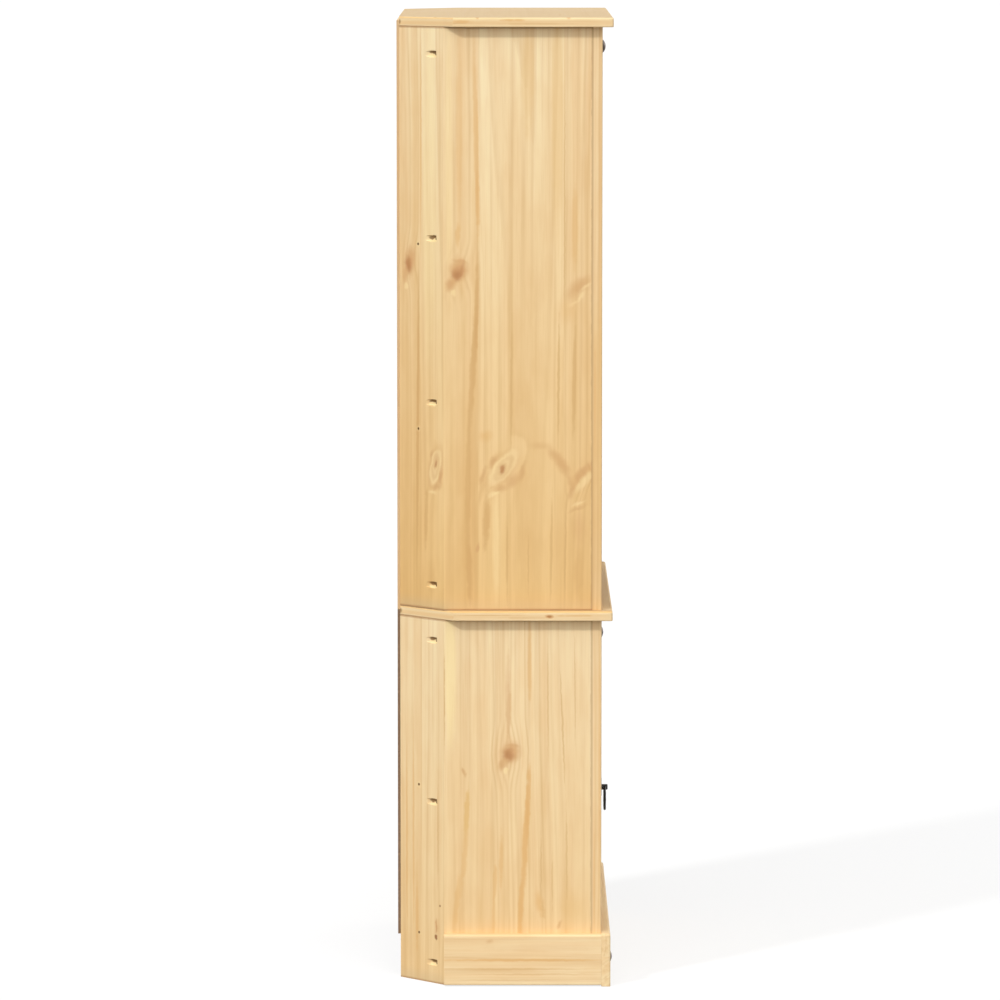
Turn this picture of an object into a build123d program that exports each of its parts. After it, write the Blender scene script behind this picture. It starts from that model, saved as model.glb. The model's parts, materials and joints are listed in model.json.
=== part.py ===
"""Tall two-tier pine cabinet with canted rear corners.

Open shelves stand on a waist board, over a cupboard with one framed and
panelled door. The origin is at the middle of the base, on the floor: +X is
the cabinet's right as you face it, -Y its front and +Z up. Millimetres.
"""

import os
from math import cos, radians, sin, sqrt

from build123d import *

# ---- Driving dimensions ----------------------------------------------------

# Boards and overall size
width = 800.0              # top board, waist board and plinth, side to side
depth = 400.0              # waist board's front edge to the back panels
height = 1800.0
board = 18.0               # thickness of the pine boards
back_board = 5.0           # thickness of both back panels
side_overhang = 18.0       # of the top and waist boards past the sides
front_overhang = 20.0      # of the top and waist boards past the face frame
cant = 82.0                # size of each cut-off rear corner, along X and Y
waist_height = 704.0       # top of the waist board
upper_edge_radius = 4.0    # easing of the overhanging boards
lower_edge_radius = 2.0
board_corner_radius = 4.0

# Face frame
stile_width = 64.0
stile_edge_radius = 2.5
header_height = 67.0
rail_height = 52.0         # both rails of the lower tier
tenon = 6.0                # thickness of every tenon and panel tongue
tenon_length = 25.0
tenon_shoulder = 6.0       # cut off the rail above and below a tenon

# Shelves
housing = 6.0              # how deep the shelves go into the sides
lower_shelf_height = 362.0  # underside of the shelf behind the door
lower_shelf_setback = 8.0  # room behind the door for its pull nut

# Plinth
plinth_height = 100.0
front_plinth_board = 17.0
plinth_edge_radius = 5.0
plinth_corner_radius = 3.0
side_plinth_inset = 2.5    # the side plinths stop short above and below

# Fasteners of the carcass
fastener_sides = 6         # small fasteners and their holes have a few flat sides
dowel_radius = 4.0
dowel_depth = 20.0         # into a side panel
top_dowel_depth = 10.0     # into the top board
dowel_spacing = 95.0
dowel_rear_distance = 43.0  # rearmost dowel to the corner joint
pocket_angle = 18.0        # of a pocket screw, to the corner panel's face
pocket_radius = 6.6
pocket_exit = 28.0         # joint to the point where the pocket's axis leaves the face
pocket_seat = 18.0         # joint to the pocket's flat end, along the face
upper_pocket_margins = (45.0, 50.0)  # lowest and highest pocket to the panel's ends
lower_pocket_margins = (38.5, 40.5)
inner_pocket_offset = 152.0  # of the upper tier's middle pair, from the others' middle
pocket_screw_radius = 1.75
pocket_screw_length = 25.0
pocket_head_radius = 3.0
pocket_head_height = 2.2
brad_radius = 1.3
brad_length = 30.0
brad_sink = 2.5            # brad heads are punched below the face
brad_distance = 66.5       # brads to the corner joint, along the face
nail_radius = 0.9
nail_length = 18.0
nail_head_radius = 2.5
nail_head_height = 0.8
nail_edge = 8.0            # nails to the back panel's side edge
nail_end_distance = 40.0   # first nail to the back panel's end
nail_spacing = 200.0       # about
back_gap = 1.0             # between the two back panels, behind the waist board
back_top_drop = 7.5        # upper back panel, below the top board's face

# Domed iron studs
header_stud_radius = 12.5
header_stud_height = 6.2
header_stud_drop = 2.5     # below the middle of the header
small_stud_radius = 10.5
small_stud_height = 3.5
stud_shank_radius = 1.4
stud_shank_length = 12.0
plinth_stud_inset = 42.0   # from the plinth's end

# Door
door_gap = 2.0
door_stile_width = 64.0
door_top_rail_height = 64.0
door_bottom_rail_height = 74.0
muntin_width = 64.0
groove_depth = 8.0
tongue_length = 7.0
panel_bevel = 28.0         # width of the bevel round each raised field
panel_rise = 3.0           # of the bevel, in front of the tongue
field_step = 1.5           # upright step from the bevel to the field

# Ring pull
pull_height = 358.0        # centre of the post, above the floor
rosette_radius = 18.0
rosette_thickness = 2.0
rosette_edge = 0.8
post_radius = 5.25
post_length = 11.2         # in front of the rosette
post_round = 1.6
post_stud_radius = 2.5
post_stud_reach = 4.5      # past the door's back
ring_radius = 20.8         # to the middle of the ring's rod
ring_rod_radius = 2.25
ring_stand_off = 5.6       # of the ring's plane, in front of the rosette
ring_running_gap = 0.15
nut_radius = 4.0           # to the nut's corners
nut_height = 3.2

# Hinges
hinge_height = 60.0
hinge_leaf = 1.5
hinge_let_in = 1.0         # how far each leaf is let into the wood
hinge_leaf_depth = 16.0
hinge_end_distance = 90.0  # middle of a hinge to the door's end
hinge_stand_off = 3.4      # of the pin, in front of the door's face
knuckle_radius = 3.0
knuckle_gap = 0.3
pin_radius = 1.5
pin_running_gap = 0.05
pin_cap_radius = 2.4
pin_cap_height = 1.6
hinge_screw_spacing = 36.0
hinge_screw_radius = 1.5
hinge_screw_head_radius = 2.9
hinge_screw_length = 16.0

# Magnetic catch
catch_length = 40.0
catch_depth = 28.0
catch_height = 14.0
catch_gap = 0.3
strike_length = 30.0
strike_height = 12.0
strike_thickness = 1.5
catch_screw_setback = 17.0   # of both screws, behind the catch's front
catch_screw_spacing = 20.0
catch_screw_radius = 1.5
catch_screw_head_radius = 2.8
catch_screw_head_height = 1.5
catch_screw_depth = 10.0
catch_edge_radius = 1.5

# ---- Planes and lines that the pieces share --------------------------------

front = -depth / 2
back = depth / 2
inner_back = back - back_board
half_width = width / 2
side = half_width - side_overhang
inner_side = side - board
frame_front = front + front_overhang
frame_back = frame_front + board
corner_y = inner_back - cant
rear_half = side - cant
nail_x = rear_half - nail_edge
skew = board * sqrt(2)                 # a corner panel's width across a square cut
top_under = height - board
waist_under = waist_height - board
floor_board = plinth_height - board    # underside of the bottom board
opening_half = side - stile_width
header_under = top_under - header_height
rail_under = waist_under - rail_height
plinth_front = frame_front - front_plinth_board

upper_clear = (header_under - waist_height - 2 * board) / 3
upper_shelf_bottoms = [
    waist_height + upper_clear,
    waist_height + 2 * upper_clear + board,
]
lower_shelf_bottoms = [floor_board, lower_shelf_height]

tenon_y = (frame_front + (board - tenon) / 2, frame_back - (board - tenon) / 2)

# Rails of the face frame, as height ranges
header = (header_under, top_under)
top_rail = (rail_under, waist_under)
bottom_rail = (plinth_height - rail_height, plinth_height)

# Studs
stud_x = side - stile_width / 2
plinth_stud_x = half_width - plinth_stud_inset
header_stud_z = (header_under + top_under) / 2 - header_stud_drop
rail_stud_z = (rail_under + waist_under) / 2

# Door
door_half = opening_half - door_gap
door_inner_half = door_half - door_stile_width
door_z = (plinth_height + door_gap, rail_under - door_gap)
panel_z = (door_z[0] + door_bottom_rail_height, door_z[1] - door_top_rail_height)
bottom_tenon_z = (door_z[0] + tenon_shoulder, panel_z[0] - groove_depth)
top_tenon_z = (panel_z[1] + groove_depth, door_z[1] - tenon_shoulder)
muntin_tenon_half = muntin_width / 2 - groove_depth

# Ring pull, on the middle of the door's left stile
pull_x = -(door_half + door_inner_half) / 2
post_foot = frame_front - rosette_thickness
ring_axis_y = post_foot - ring_stand_off
ring_drop = ring_radius - sqrt(ring_radius**2 - post_radius**2)
ring_axis_z = pull_height - ring_drop / 2
ring_bore_radius = ring_rod_radius + ring_drop / 2 + ring_running_gap

# Hinges
hinge_middles = (door_z[0] + hinge_end_distance, door_z[1] - hinge_end_distance)
pin_x = opening_half - door_gap / 2
pin_y = frame_front - hinge_stand_off
leaf_back = frame_front + hinge_leaf_depth
frame_leaf_face = opening_half + hinge_let_in - hinge_leaf
door_leaf_face = door_half - hinge_let_in + hinge_leaf
hinge_screw_y = frame_front + hinge_leaf_depth / 2 + knuckle_gap

# Catch, on the shelf behind the door's left stile
catch_x = pull_x
catch_z = lower_shelf_height + board
catch_front = frame_back + strike_thickness + catch_gap
catch_screw_y = catch_front + catch_screw_setback
catch_screw_xs = (catch_x - catch_screw_spacing / 2, catch_x + catch_screw_spacing / 2)
strike_screw_start = (catch_x, frame_back + strike_thickness, catch_z + catch_height / 2)

LEFT, RIGHT = -1, 1
reach = 1.0  # an edge is picked when it lies this near to where it should be


# ---- Helpers ---------------------------------------------------------------


def slab(x, y, z, mode=Mode.ADD):
    """A square-edged block between three pairs of coordinates."""
    with Locations((min(x), min(y), min(z))):
        Box(
            abs(x[1] - x[0]),
            abs(y[1] - y[0]),
            abs(z[1] - z[0]),
            align=(Align.MIN, Align.MIN, Align.MIN),
            mode=mode,
        )


def rod(start, direction, radius, length, mode=Mode.ADD):
    """A round rod or hole that starts at a point and runs in a direction."""
    with BuildSketch(Plane(start, z_dir=direction)) as section:
        Circle(radius)
    extrude(section.sketch, amount=length, mode=mode)


def shank(start, direction, radius, length, mode=Mode.ADD):
    """A small fastener's shank, or its hole, drawn with a few flat sides."""
    with BuildSketch(Plane(start, z_dir=direction)) as section:
        RegularPolygon(radius, fastener_sides)
    extrude(section.sketch, amount=length, mode=mode)


def cone(start, direction, start_radius, end_radius, length, mode=Mode.ADD):
    """A countersink or a screw's countersunk head, with the same flat sides."""
    place = Plane(start, z_dir=direction)
    with BuildSketch(place) as wide:
        RegularPolygon(start_radius, fastener_sides)
    with BuildSketch(place.offset(length)) as narrow:
        RegularPolygon(end_radius, fastener_sides)
    loft([wide.sketch.face(), narrow.sketch.face()], mode=mode)


def board_outline(z, *right_points):
    """Outline of a board seen from above, from its right half, front to back."""
    left_points = [(-x, y) for x, y in reversed(right_points)]
    with BuildSketch(Plane.XY.offset(z)) as outline:
        with BuildLine():
            Polyline(*right_points, *left_points, close=True)
        make_face()
    return outline.sketch


def corner_point(hand, distance, z):
    """A point on a corner panel's outer face, at a distance from the joint."""
    step = distance / sqrt(2)
    return Vector(hand * (side - step), corner_y + step, z)


def inward(hand):
    """Square to a corner panel's outer face, into the cabinet."""
    return Vector(-hand, -1, 0).normalized()


def screw_drive(hand):
    """The way that a pocket screw goes, through the corner panel into the side."""
    turn = radians(45 - pocket_angle)
    return Vector(hand * sin(turn), -cos(turn), 0)


def pocket_heights(bottom, top, margins, inner_offset):
    """Heights of a tier's pocket screws: one near each end and a middle pair."""
    lowest, highest = bottom + margins[0], top - margins[1]
    middle = (lowest + highest) / 2
    return sorted({lowest, middle - inner_offset, middle + inner_offset, highest})


def dowel_places():
    """Where the dowels stand in the side panels, as seen from above."""
    rearmost = corner_y - dowel_rear_distance
    middle_of_side = side - board / 2
    return [
        (hand * middle_of_side, rearmost - step * dowel_spacing)
        for hand in (LEFT, RIGHT)
        for step in range(3)
    ]


def nail_heights(bottom, top):
    """Heights of the back nails, evenly spread between a panel's ends."""
    span = top - bottom - 2 * nail_end_distance
    count = max(2, round(span / nail_spacing) + 1)
    return [bottom + nail_end_distance + span * step / (count - 1) for step in range(count)]


upper_back_z = (waist_height - board / 2 + back_gap / 2, height - back_top_drop)
lower_back_z = (floor_board, waist_height - board / 2 - back_gap / 2)
upper_nails = nail_heights(*upper_back_z)
lower_nails = nail_heights(*lower_back_z)
upper_pockets = pocket_heights(waist_height, top_under, upper_pocket_margins, inner_pocket_offset)
lower_pockets = pocket_heights(0, waist_under, lower_pocket_margins, 0)
pocket_seat_run = (pocket_exit - pocket_seat) * cos(radians(pocket_angle))


# ---- Boards ----------------------------------------------------------------


def overhanging_board(bottom, hole_depth):
    """The top board or the waist board, eased all round but at the back."""
    with BuildPart() as piece:
        outline = board_outline(
            bottom,
            (half_width, front),
            (half_width, corner_y - side_overhang),
            (rear_half, inner_back),
        )
        extrude(outline, amount=board)
        fillet(piece.edges().filter_by(Axis.Z).group_by(Axis.Y)[0], board_corner_radius)
        for face, radius in ((-1, upper_edge_radius), (0, lower_edge_radius)):
            rim = piece.faces().sort_by(Axis.Z)[face].edges()
            fillet(rim.filter_by(lambda edge: edge.center().Y < inner_back - reach), radius)
        for x, y in dowel_places():
            shank((x, y, bottom), (0, 0, 1), dowel_radius, hole_depth, Mode.SUBTRACT)
    return piece.part


def shelf(bottom, front_edge):
    """A fixed shelf, housed in the sides and nailed through the corner panels."""
    with BuildPart() as piece:
        outline = board_outline(
            bottom,
            (inner_side + housing, front_edge),
            (inner_side + housing, corner_y),
            (side - skew, corner_y),
            (rear_half - skew, inner_back),
        )
        extrude(outline, amount=board)
        for hand in (LEFT, RIGHT):
            start, direction = brad_start(hand, bottom + board / 2)
            shank(start, direction, brad_radius, brad_length, Mode.SUBTRACT)
    return piece.part


def lower_shelf():
    """The shelf behind the door, drilled for the catch's screws."""
    with BuildPart() as piece:
        add(shelf(lower_shelf_height, frame_back + lower_shelf_setback))
        for x in catch_screw_xs:
            head = (x, catch_screw_y, catch_z)
            shank(head, (0, 0, -1), catch_screw_radius, catch_screw_depth, Mode.SUBTRACT)
    return piece.part


def brad_start(hand, z):
    """Head of a brad and the way it goes, square through the corner panel."""
    return corner_point(hand, brad_distance, z) + inward(hand) * brad_sink, inward(hand)


def side_panel(hand, bottom, top, shelf_bottoms, pockets):
    """A side, with its housings, dowel holes and pocket screw holes."""
    with BuildPart() as piece:
        slab((hand * inner_side, hand * side), (frame_back, corner_y), (bottom, top))
        for z in shelf_bottoms:
            slab(
                (hand * inner_side, hand * (inner_side + housing)),
                (frame_back, corner_y),
                (z, z + board),
                Mode.SUBTRACT,
            )
        for x, y in dowel_places():
            if x * hand > 0:
                shank((x, y, top), (0, 0, -1), dowel_radius, dowel_depth, Mode.SUBTRACT)
                if bottom > 0:
                    shank((x, y, bottom), (0, 0, 1), dowel_radius, dowel_depth, Mode.SUBTRACT)
        for z in pockets:
            shank(
                pocket_screw_seat(hand, z),
                screw_drive(hand),
                pocket_screw_radius,
                pocket_screw_length,
                Mode.SUBTRACT,
            )
    return piece.part


def pocket_screw_seat(hand, z):
    """Where a pocket screw's head bears, on the pocket's flat end."""
    return corner_point(hand, pocket_exit, z) + screw_drive(hand) * pocket_seat_run


def corner_panel(hand, bottom, top, shelf_bottoms, pockets, nails):
    """A canted rear corner panel, mitred to the side and to the back panel."""
    with BuildPart() as piece:
        with BuildSketch(Plane.XY.offset(bottom)):
            with BuildLine():
                Polyline(
                    (hand * side, corner_y),
                    (hand * rear_half, inner_back),
                    (hand * (rear_half - skew), inner_back),
                    (hand * (side - skew), corner_y),
                    close=True,
                )
            make_face()
        extrude(amount=top - bottom)
        for z in pockets:
            seat = pocket_screw_seat(hand, z)
            drive = screw_drive(hand)
            rod(seat, -drive, pocket_radius, 2 * pocket_exit, Mode.SUBTRACT)
            shank(seat, drive, pocket_screw_radius, pocket_screw_length, Mode.SUBTRACT)
        for z in shelf_bottoms:
            start, direction = brad_start(hand, z + board / 2)
            outside = start - direction * 2 * brad_sink
            shank(outside, direction, brad_radius, 2 * board, Mode.SUBTRACT)
        for z in nails:
            shank((hand * nail_x, back, z), (0, -1, 0), nail_radius, nail_length, Mode.SUBTRACT)
    return piece.part


def back_panel(bottom, top, nails):
    """A thin back panel, nailed over the rear edges of the boards."""
    with BuildPart() as piece:
        slab((-rear_half, rear_half), (inner_back, back), (bottom, top))
        for hand in (LEFT, RIGHT):
            for z in nails:
                head = (hand * nail_x, back, z)
                shank(head, (0, -1, 0), nail_head_radius, nail_head_height, Mode.SUBTRACT)
                shank(head, (0, -1, 0), nail_radius, back_board, Mode.SUBTRACT)
    return piece.part


# ---- Face frame and plinth -------------------------------------------------


def mortise_z(rail_bottom, rail_top):
    """Height range of a rail's tenon."""
    return (rail_bottom + tenon_shoulder, rail_top - tenon_shoulder)


def frame_stile(hand, bottom, top, rails, stud_heights, leaf_middles):
    """A face-frame stile, mortised for its rails and let in for the hinges."""
    with BuildPart() as piece:
        slab((hand * opening_half, hand * side), (frame_front, frame_back), (bottom, top))
        outer_front = piece.edges().filter_by(Axis.Z).filter_by(
            lambda edge: abs(edge.center().X) > side - reach and edge.center().Y < frame_front + reach
        )
        fillet(outer_front, stile_edge_radius)
        for rail in rails:
            mortise = (hand * opening_half, hand * (opening_half + tenon_length))
            slab(mortise, tenon_y, mortise_z(*rail), Mode.SUBTRACT)
        for z in stud_heights:
            nail_at = (hand * stud_x, frame_front, z)
            shank(nail_at, (0, 1, 0), stud_shank_radius, stud_shank_length, Mode.SUBTRACT)
        for z in leaf_middles:
            slab(
                (opening_half, opening_half + hinge_let_in),
                (frame_front, leaf_back),
                (z - hinge_height / 2, z + hinge_height / 2),
                Mode.SUBTRACT,
            )
            for screw_z in hinge_screw_heights(z):
                start = (frame_leaf_face, hinge_screw_y, screw_z)
                shank(start, (1, 0, 0), hinge_screw_radius, hinge_screw_length, Mode.SUBTRACT)
    return piece.part


def frame_rail(bottom, top):
    """A face-frame rail with a tenon at each end."""
    with BuildPart() as piece:
        slab((-opening_half, opening_half), (frame_front, frame_back), (bottom, top))
        tenon_reach = opening_half + tenon_length
        slab((-tenon_reach, tenon_reach), tenon_y, mortise_z(bottom, top))
    return piece.part


def front_plinth():
    """The plinth's front board, its upper and end edges rounded over."""
    with BuildPart() as piece:
        slab((-half_width, half_width), (plinth_front, frame_front), (0, plinth_height))
        front_face = piece.faces().sort_by(Axis.Y)[0]
        ends = front_face.edges().filter_by(Axis.Z)
        fillet(ends, plinth_corner_radius)
        top_face = piece.faces().sort_by(Axis.Z)[-1]
        rim = top_face.edges().filter_by(lambda edge: edge.center().Y < frame_front - reach)
        fillet(rim, plinth_edge_radius)
        for hand in (LEFT, RIGHT):
            nail_at = (hand * plinth_stud_x, plinth_front, plinth_height / 2)
            shank(nail_at, (0, 1, 0), stud_shank_radius, stud_shank_length, Mode.SUBTRACT)
    return piece.part


def side_plinth(hand):
    """A plinth board along one side, with a rounded upper edge."""
    with BuildPart() as piece:
        slab(
            (hand * side, hand * half_width),
            (frame_front, corner_y),
            (side_plinth_inset, plinth_height - side_plinth_inset),
        )
        outer = piece.edges().filter_by(Axis.Y).filter_by(
            lambda edge: abs(edge.center().X) > half_width - reach
        )
        fillet(outer.sort_by(Axis.Z)[-1], plinth_edge_radius)
        fillet(outer.sort_by(Axis.Z)[0], lower_edge_radius)
    return piece.part


def studs(places, radius, rise):
    """Domed iron nail heads, each with its short shank in the wood."""
    ball = (radius**2 + rise**2) / (2 * rise)
    with BuildPart() as piece:
        for x, y, z in places:
            with BuildSketch(Plane((x, y, z), x_dir=(1, 0, 0), z_dir=(0, 0, 1))) as profile:
                with BuildLine():
                    Line((0, 0), (0, -rise))
                    RadiusArc((0, -rise), (radius, 0), ball)
                    Line((radius, 0), (0, 0))
                make_face()
            revolve(profile.sketch, axis=Axis((x, y, z), (0, 1, 0)))
            shank((x, y, z), (0, 1, 0), stud_shank_radius, stud_shank_length)
    return piece.part


# ---- Door ------------------------------------------------------------------


def door_stile(hand):
    """A door stile, grooved for the panel and mortised for both rails."""
    with BuildPart() as piece:
        slab((hand * door_inner_half, hand * door_half), (frame_front, frame_back), door_z)
        groove = (hand * door_inner_half, hand * (door_inner_half + groove_depth))
        slab(groove, tenon_y, (panel_z[0] - groove_depth, panel_z[1] + groove_depth), Mode.SUBTRACT)
        mortise = (hand * door_inner_half, hand * (door_inner_half + tenon_length))
        for mortise_height in (bottom_tenon_z, top_tenon_z):
            slab(mortise, tenon_y, mortise_height, Mode.SUBTRACT)
        if hand == RIGHT:
            for z in hinge_middles:
                slab(
                    (door_half - hinge_let_in, door_half),
                    (frame_front, leaf_back),
                    (z - hinge_height / 2, z + hinge_height / 2),
                    Mode.SUBTRACT,
                )
                for screw_z in hinge_screw_heights(z):
                    start = (door_leaf_face, hinge_screw_y, screw_z)
                    shank(start, (-1, 0, 0), hinge_screw_radius, hinge_screw_length, Mode.SUBTRACT)
        else:
            rod(
                (pull_x, frame_front, pull_height),
                (0, 1, 0),
                post_stud_radius,
                board,
                Mode.SUBTRACT,
            )
            strike_hole = (strike_screw_start, (0, -1, 0))
            shank(*strike_hole, catch_screw_radius, catch_screw_depth, Mode.SUBTRACT)
    return piece.part


def door_rail(z, tenon_z, groove_z, muntin_tenon_z):
    """A door rail with end tenons, a panel groove and the muntin's mortise."""
    with BuildPart() as piece:
        slab((-door_inner_half, door_inner_half), (frame_front, frame_back), z)
        tenon_reach = door_inner_half + tenon_length
        slab((-tenon_reach, tenon_reach), tenon_y, tenon_z)
        slab((-door_inner_half, door_inner_half), tenon_y, groove_z, Mode.SUBTRACT)
        slab((-muntin_tenon_half, muntin_tenon_half), tenon_y, muntin_tenon_z, Mode.SUBTRACT)
    return piece.part


def door_muntin():
    """The door's middle upright, grooved both sides, with a tenon at each end."""
    half = muntin_width / 2
    with BuildPart() as piece:
        slab((-half, half), (frame_front, frame_back), panel_z)
        tenon_reach = (panel_z[0] - tenon_length, panel_z[1] + tenon_length)
        for hand in (LEFT, RIGHT):
            groove = (hand * muntin_tenon_half, hand * half)
            slab(groove, tenon_y, panel_z, Mode.SUBTRACT)
        slab((-muntin_tenon_half, muntin_tenon_half), tenon_y, tenon_reach)
    return piece.part


def door_panel(hand):
    """A raised and fielded panel: a tongue all round, a bevel, then the field."""
    x0, x1 = muntin_width / 2, door_inner_half
    middle = (hand * (x0 + x1) / 2, (panel_z[0] + panel_z[1]) / 2)
    open_width, open_height = x1 - x0, panel_z[1] - panel_z[0]
    tongue_front = Plane.XZ.offset(-tenon_y[0])
    field = (open_width - 2 * panel_bevel, open_height - 2 * panel_bevel)
    with BuildPart() as piece:
        with BuildSketch(tongue_front):
            with Locations(middle):
                Rectangle(open_width + 2 * tongue_length, open_height + 2 * tongue_length)
        extrude(amount=-tenon)
        with BuildSketch(tongue_front) as bevel_foot:
            with Locations(middle):
                Rectangle(open_width, open_height)
        with BuildSketch(tongue_front.offset(panel_rise)) as bevel_head:
            with Locations(middle):
                Rectangle(*field)
        loft([bevel_foot.sketch.face(), bevel_head.sketch.face()])
        with BuildSketch(tongue_front.offset(panel_rise)) as raised:
            with Locations(middle):
                Rectangle(*field)
        extrude(raised.sketch, amount=field_step)
    return piece.part


# ---- Ring pull -------------------------------------------------------------


def pull_rosette():
    """The thin round plate behind the ring, its rim bevelled."""
    with BuildPart() as piece:
        rod((pull_x, frame_front, pull_height), (0, -1, 0), rosette_radius, rosette_thickness)
        rim = piece.faces().sort_by(Axis.Y)[0].edges()
        chamfer(rim, rosette_edge)
        rod(
            (pull_x, frame_front, pull_height),
            (0, -1, 0),
            post_stud_radius,
            rosette_thickness,
            Mode.SUBTRACT,
        )
    return piece.part


def pull_post():
    """The post that carries the ring, cross-bored, with a stud through the door."""
    with BuildPart() as piece:
        rod((pull_x, post_foot, pull_height), (0, -1, 0), post_radius, post_length)
        fillet(piece.faces().sort_by(Axis.Y)[0].edges(), post_round)
        stud_length = rosette_thickness + board + post_stud_reach
        rod((pull_x, post_foot, pull_height), (0, 1, 0), post_stud_radius, stud_length)
        bore_start = (pull_x - 2 * post_radius, ring_axis_y, ring_axis_z)
        rod(bore_start, (1, 0, 0), ring_bore_radius, 4 * post_radius, Mode.SUBTRACT)
    return piece.part


def pull_ring():
    """The ring, hanging through the post."""
    with BuildPart() as piece:
        with BuildSketch(Plane((pull_x, ring_axis_y, pull_height), z_dir=(1, 0, 0))):
            Circle(ring_rod_radius)
        centre = (pull_x, ring_axis_y, pull_height - ring_radius)
        revolve(axis=Axis(centre, (0, 1, 0)))
    return piece.part


def pull_nut():
    """The nut that holds the post, behind the door."""
    with BuildPart() as piece:
        with BuildSketch(Plane((pull_x, frame_back, pull_height), z_dir=(0, 1, 0))):
            RegularPolygon(nut_radius, 6)
            Circle(post_stud_radius, mode=Mode.SUBTRACT)
        extrude(amount=nut_height)
    return piece.part


# ---- Hinges ----------------------------------------------------------------


def hinge_screw_heights(middle):
    """Heights of a leaf's two screws."""
    return (middle - hinge_screw_spacing / 2, middle + hinge_screw_spacing / 2)


def knuckle_heights(middle):
    """Where the barrel is cut: the frame's lower, the door's, the frame's upper."""
    low, high = middle - hinge_height / 2, middle + hinge_height / 2
    third = hinge_height / 3
    return [
        (low, low + third - knuckle_gap / 2),
        (low + third + knuckle_gap / 2, high - third - knuckle_gap / 2),
        (high - third + knuckle_gap / 2, high),
    ]


def hinge_leaves(face_x, back_x, knuckles, bore_radius, screw_way):
    """Both hinges' leaves on one side: plate, knuckles and countersunk holes."""
    with BuildPart() as piece:
        for middle in hinge_middles:
            heights = knuckle_heights(middle)
            ends = (heights[0][0], heights[-1][1])
            slab((face_x, back_x), (frame_front + knuckle_gap, leaf_back), ends)
            for index in knuckles:
                low, high = heights[index]
                slab((face_x, back_x), (pin_y, frame_front + knuckle_gap), (low, high))
                rod((pin_x, pin_y, low), (0, 0, 1), knuckle_radius, high - low)
            rod((pin_x, pin_y, ends[0]), (0, 0, 1), bore_radius, hinge_height, Mode.SUBTRACT)
            for z in hinge_screw_heights(middle):
                cone(
                    (face_x, hinge_screw_y, z),
                    (screw_way, 0, 0),
                    hinge_screw_head_radius,
                    hinge_screw_radius,
                    hinge_leaf,
                    Mode.SUBTRACT,
                )
    return piece.part


def hinge_screws(face_x, screw_way):
    """The countersunk screws of one side's leaves."""
    with BuildPart() as piece:
        for middle in hinge_middles:
            for z in hinge_screw_heights(middle):
                head = Vector(face_x, hinge_screw_y, z)
                way = Vector(screw_way, 0, 0)
                cone(head, way, hinge_screw_head_radius, hinge_screw_radius, hinge_leaf)
                shank_start = head + way * hinge_leaf
                shank(shank_start, way, hinge_screw_radius, hinge_screw_length - hinge_leaf)
    return piece.part


def hinge_pins():
    """The two hinge pins, with a small round cap at each end."""
    with BuildPart() as piece:
        for middle in hinge_middles:
            low, high = middle - hinge_height / 2, middle + hinge_height / 2
            rod((pin_x, pin_y, low), (0, 0, 1), pin_radius, hinge_height)
            rod((pin_x, pin_y, high), (0, 0, 1), pin_cap_radius, pin_cap_height)
            rod((pin_x, pin_y, low), (0, 0, -1), pin_cap_radius, pin_cap_height)
    return piece.part


# ---- Catch -----------------------------------------------------------------


def catch_magnet():
    """The magnet's housing on the shelf, with a slot for its screw."""
    with BuildPart() as piece:
        slab(
            (catch_x - catch_length / 2, catch_x + catch_length / 2),
            (catch_front, catch_front + catch_depth),
            (catch_z, catch_z + catch_height),
        )
        fillet(piece.faces().sort_by(Axis.Z)[-1].edges(), catch_edge_radius)
        for x in catch_screw_xs:
            foot = (x, catch_screw_y, catch_z)
            shank(foot, (0, 0, 1), catch_screw_radius, catch_height, Mode.SUBTRACT)
    return piece.part


def catch_strike():
    """The steel plate on the door's back that the magnet holds."""
    with BuildPart() as piece:
        middle = catch_z + catch_height / 2
        slab(
            (catch_x - strike_length / 2, catch_x + strike_length / 2),
            (frame_back, frame_back + strike_thickness),
            (middle - strike_height / 2, middle + strike_height / 2),
        )
        cone(
            strike_screw_start,
            (0, -1, 0),
            catch_screw_head_radius,
            catch_screw_radius,
            strike_thickness,
            Mode.SUBTRACT,
        )
    return piece.part


def catch_screws():
    """Two round-headed screws down into the shelf."""
    with BuildPart() as piece:
        for x in catch_screw_xs:
            top = (x, catch_screw_y, catch_z + catch_height)
            shank(top, (0, 0, -1), catch_screw_radius, catch_height + catch_screw_depth)
            shank(top, (0, 0, 1), catch_screw_head_radius, catch_screw_head_height)
    return piece.part


def strike_screw():
    """The countersunk screw of the strike plate."""
    with BuildPart() as piece:
        start = Vector(strike_screw_start)
        way = Vector(0, -1, 0)
        cone(start, way, catch_screw_head_radius, catch_screw_radius, strike_thickness)
        shank_length = catch_screw_depth - strike_thickness
        shank(start + way * strike_thickness, way, catch_screw_radius, shank_length)
    return piece.part


# ---- Carcass fasteners -----------------------------------------------------


def carcass_dowels():
    """Dowels through the waist board and up into the top board."""
    with BuildPart() as piece:
        for x, y in dowel_places():
            start = waist_under - dowel_depth
            shank((x, y, start), (0, 0, 1), dowel_radius, board + 2 * dowel_depth)
            start = top_under - dowel_depth
            shank((x, y, start), (0, 0, 1), dowel_radius, top_dowel_depth + dowel_depth)
    return piece.part


def pocket_screws():
    """The screws that pull each corner panel against its side."""
    with BuildPart() as piece:
        for hand in (LEFT, RIGHT):
            for z in lower_pockets + upper_pockets:
                seat = pocket_screw_seat(hand, z)
                drive = screw_drive(hand)
                shank(seat, drive, pocket_screw_radius, pocket_screw_length)
                shank(seat, -drive, pocket_head_radius, pocket_head_height)
    return piece.part


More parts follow.
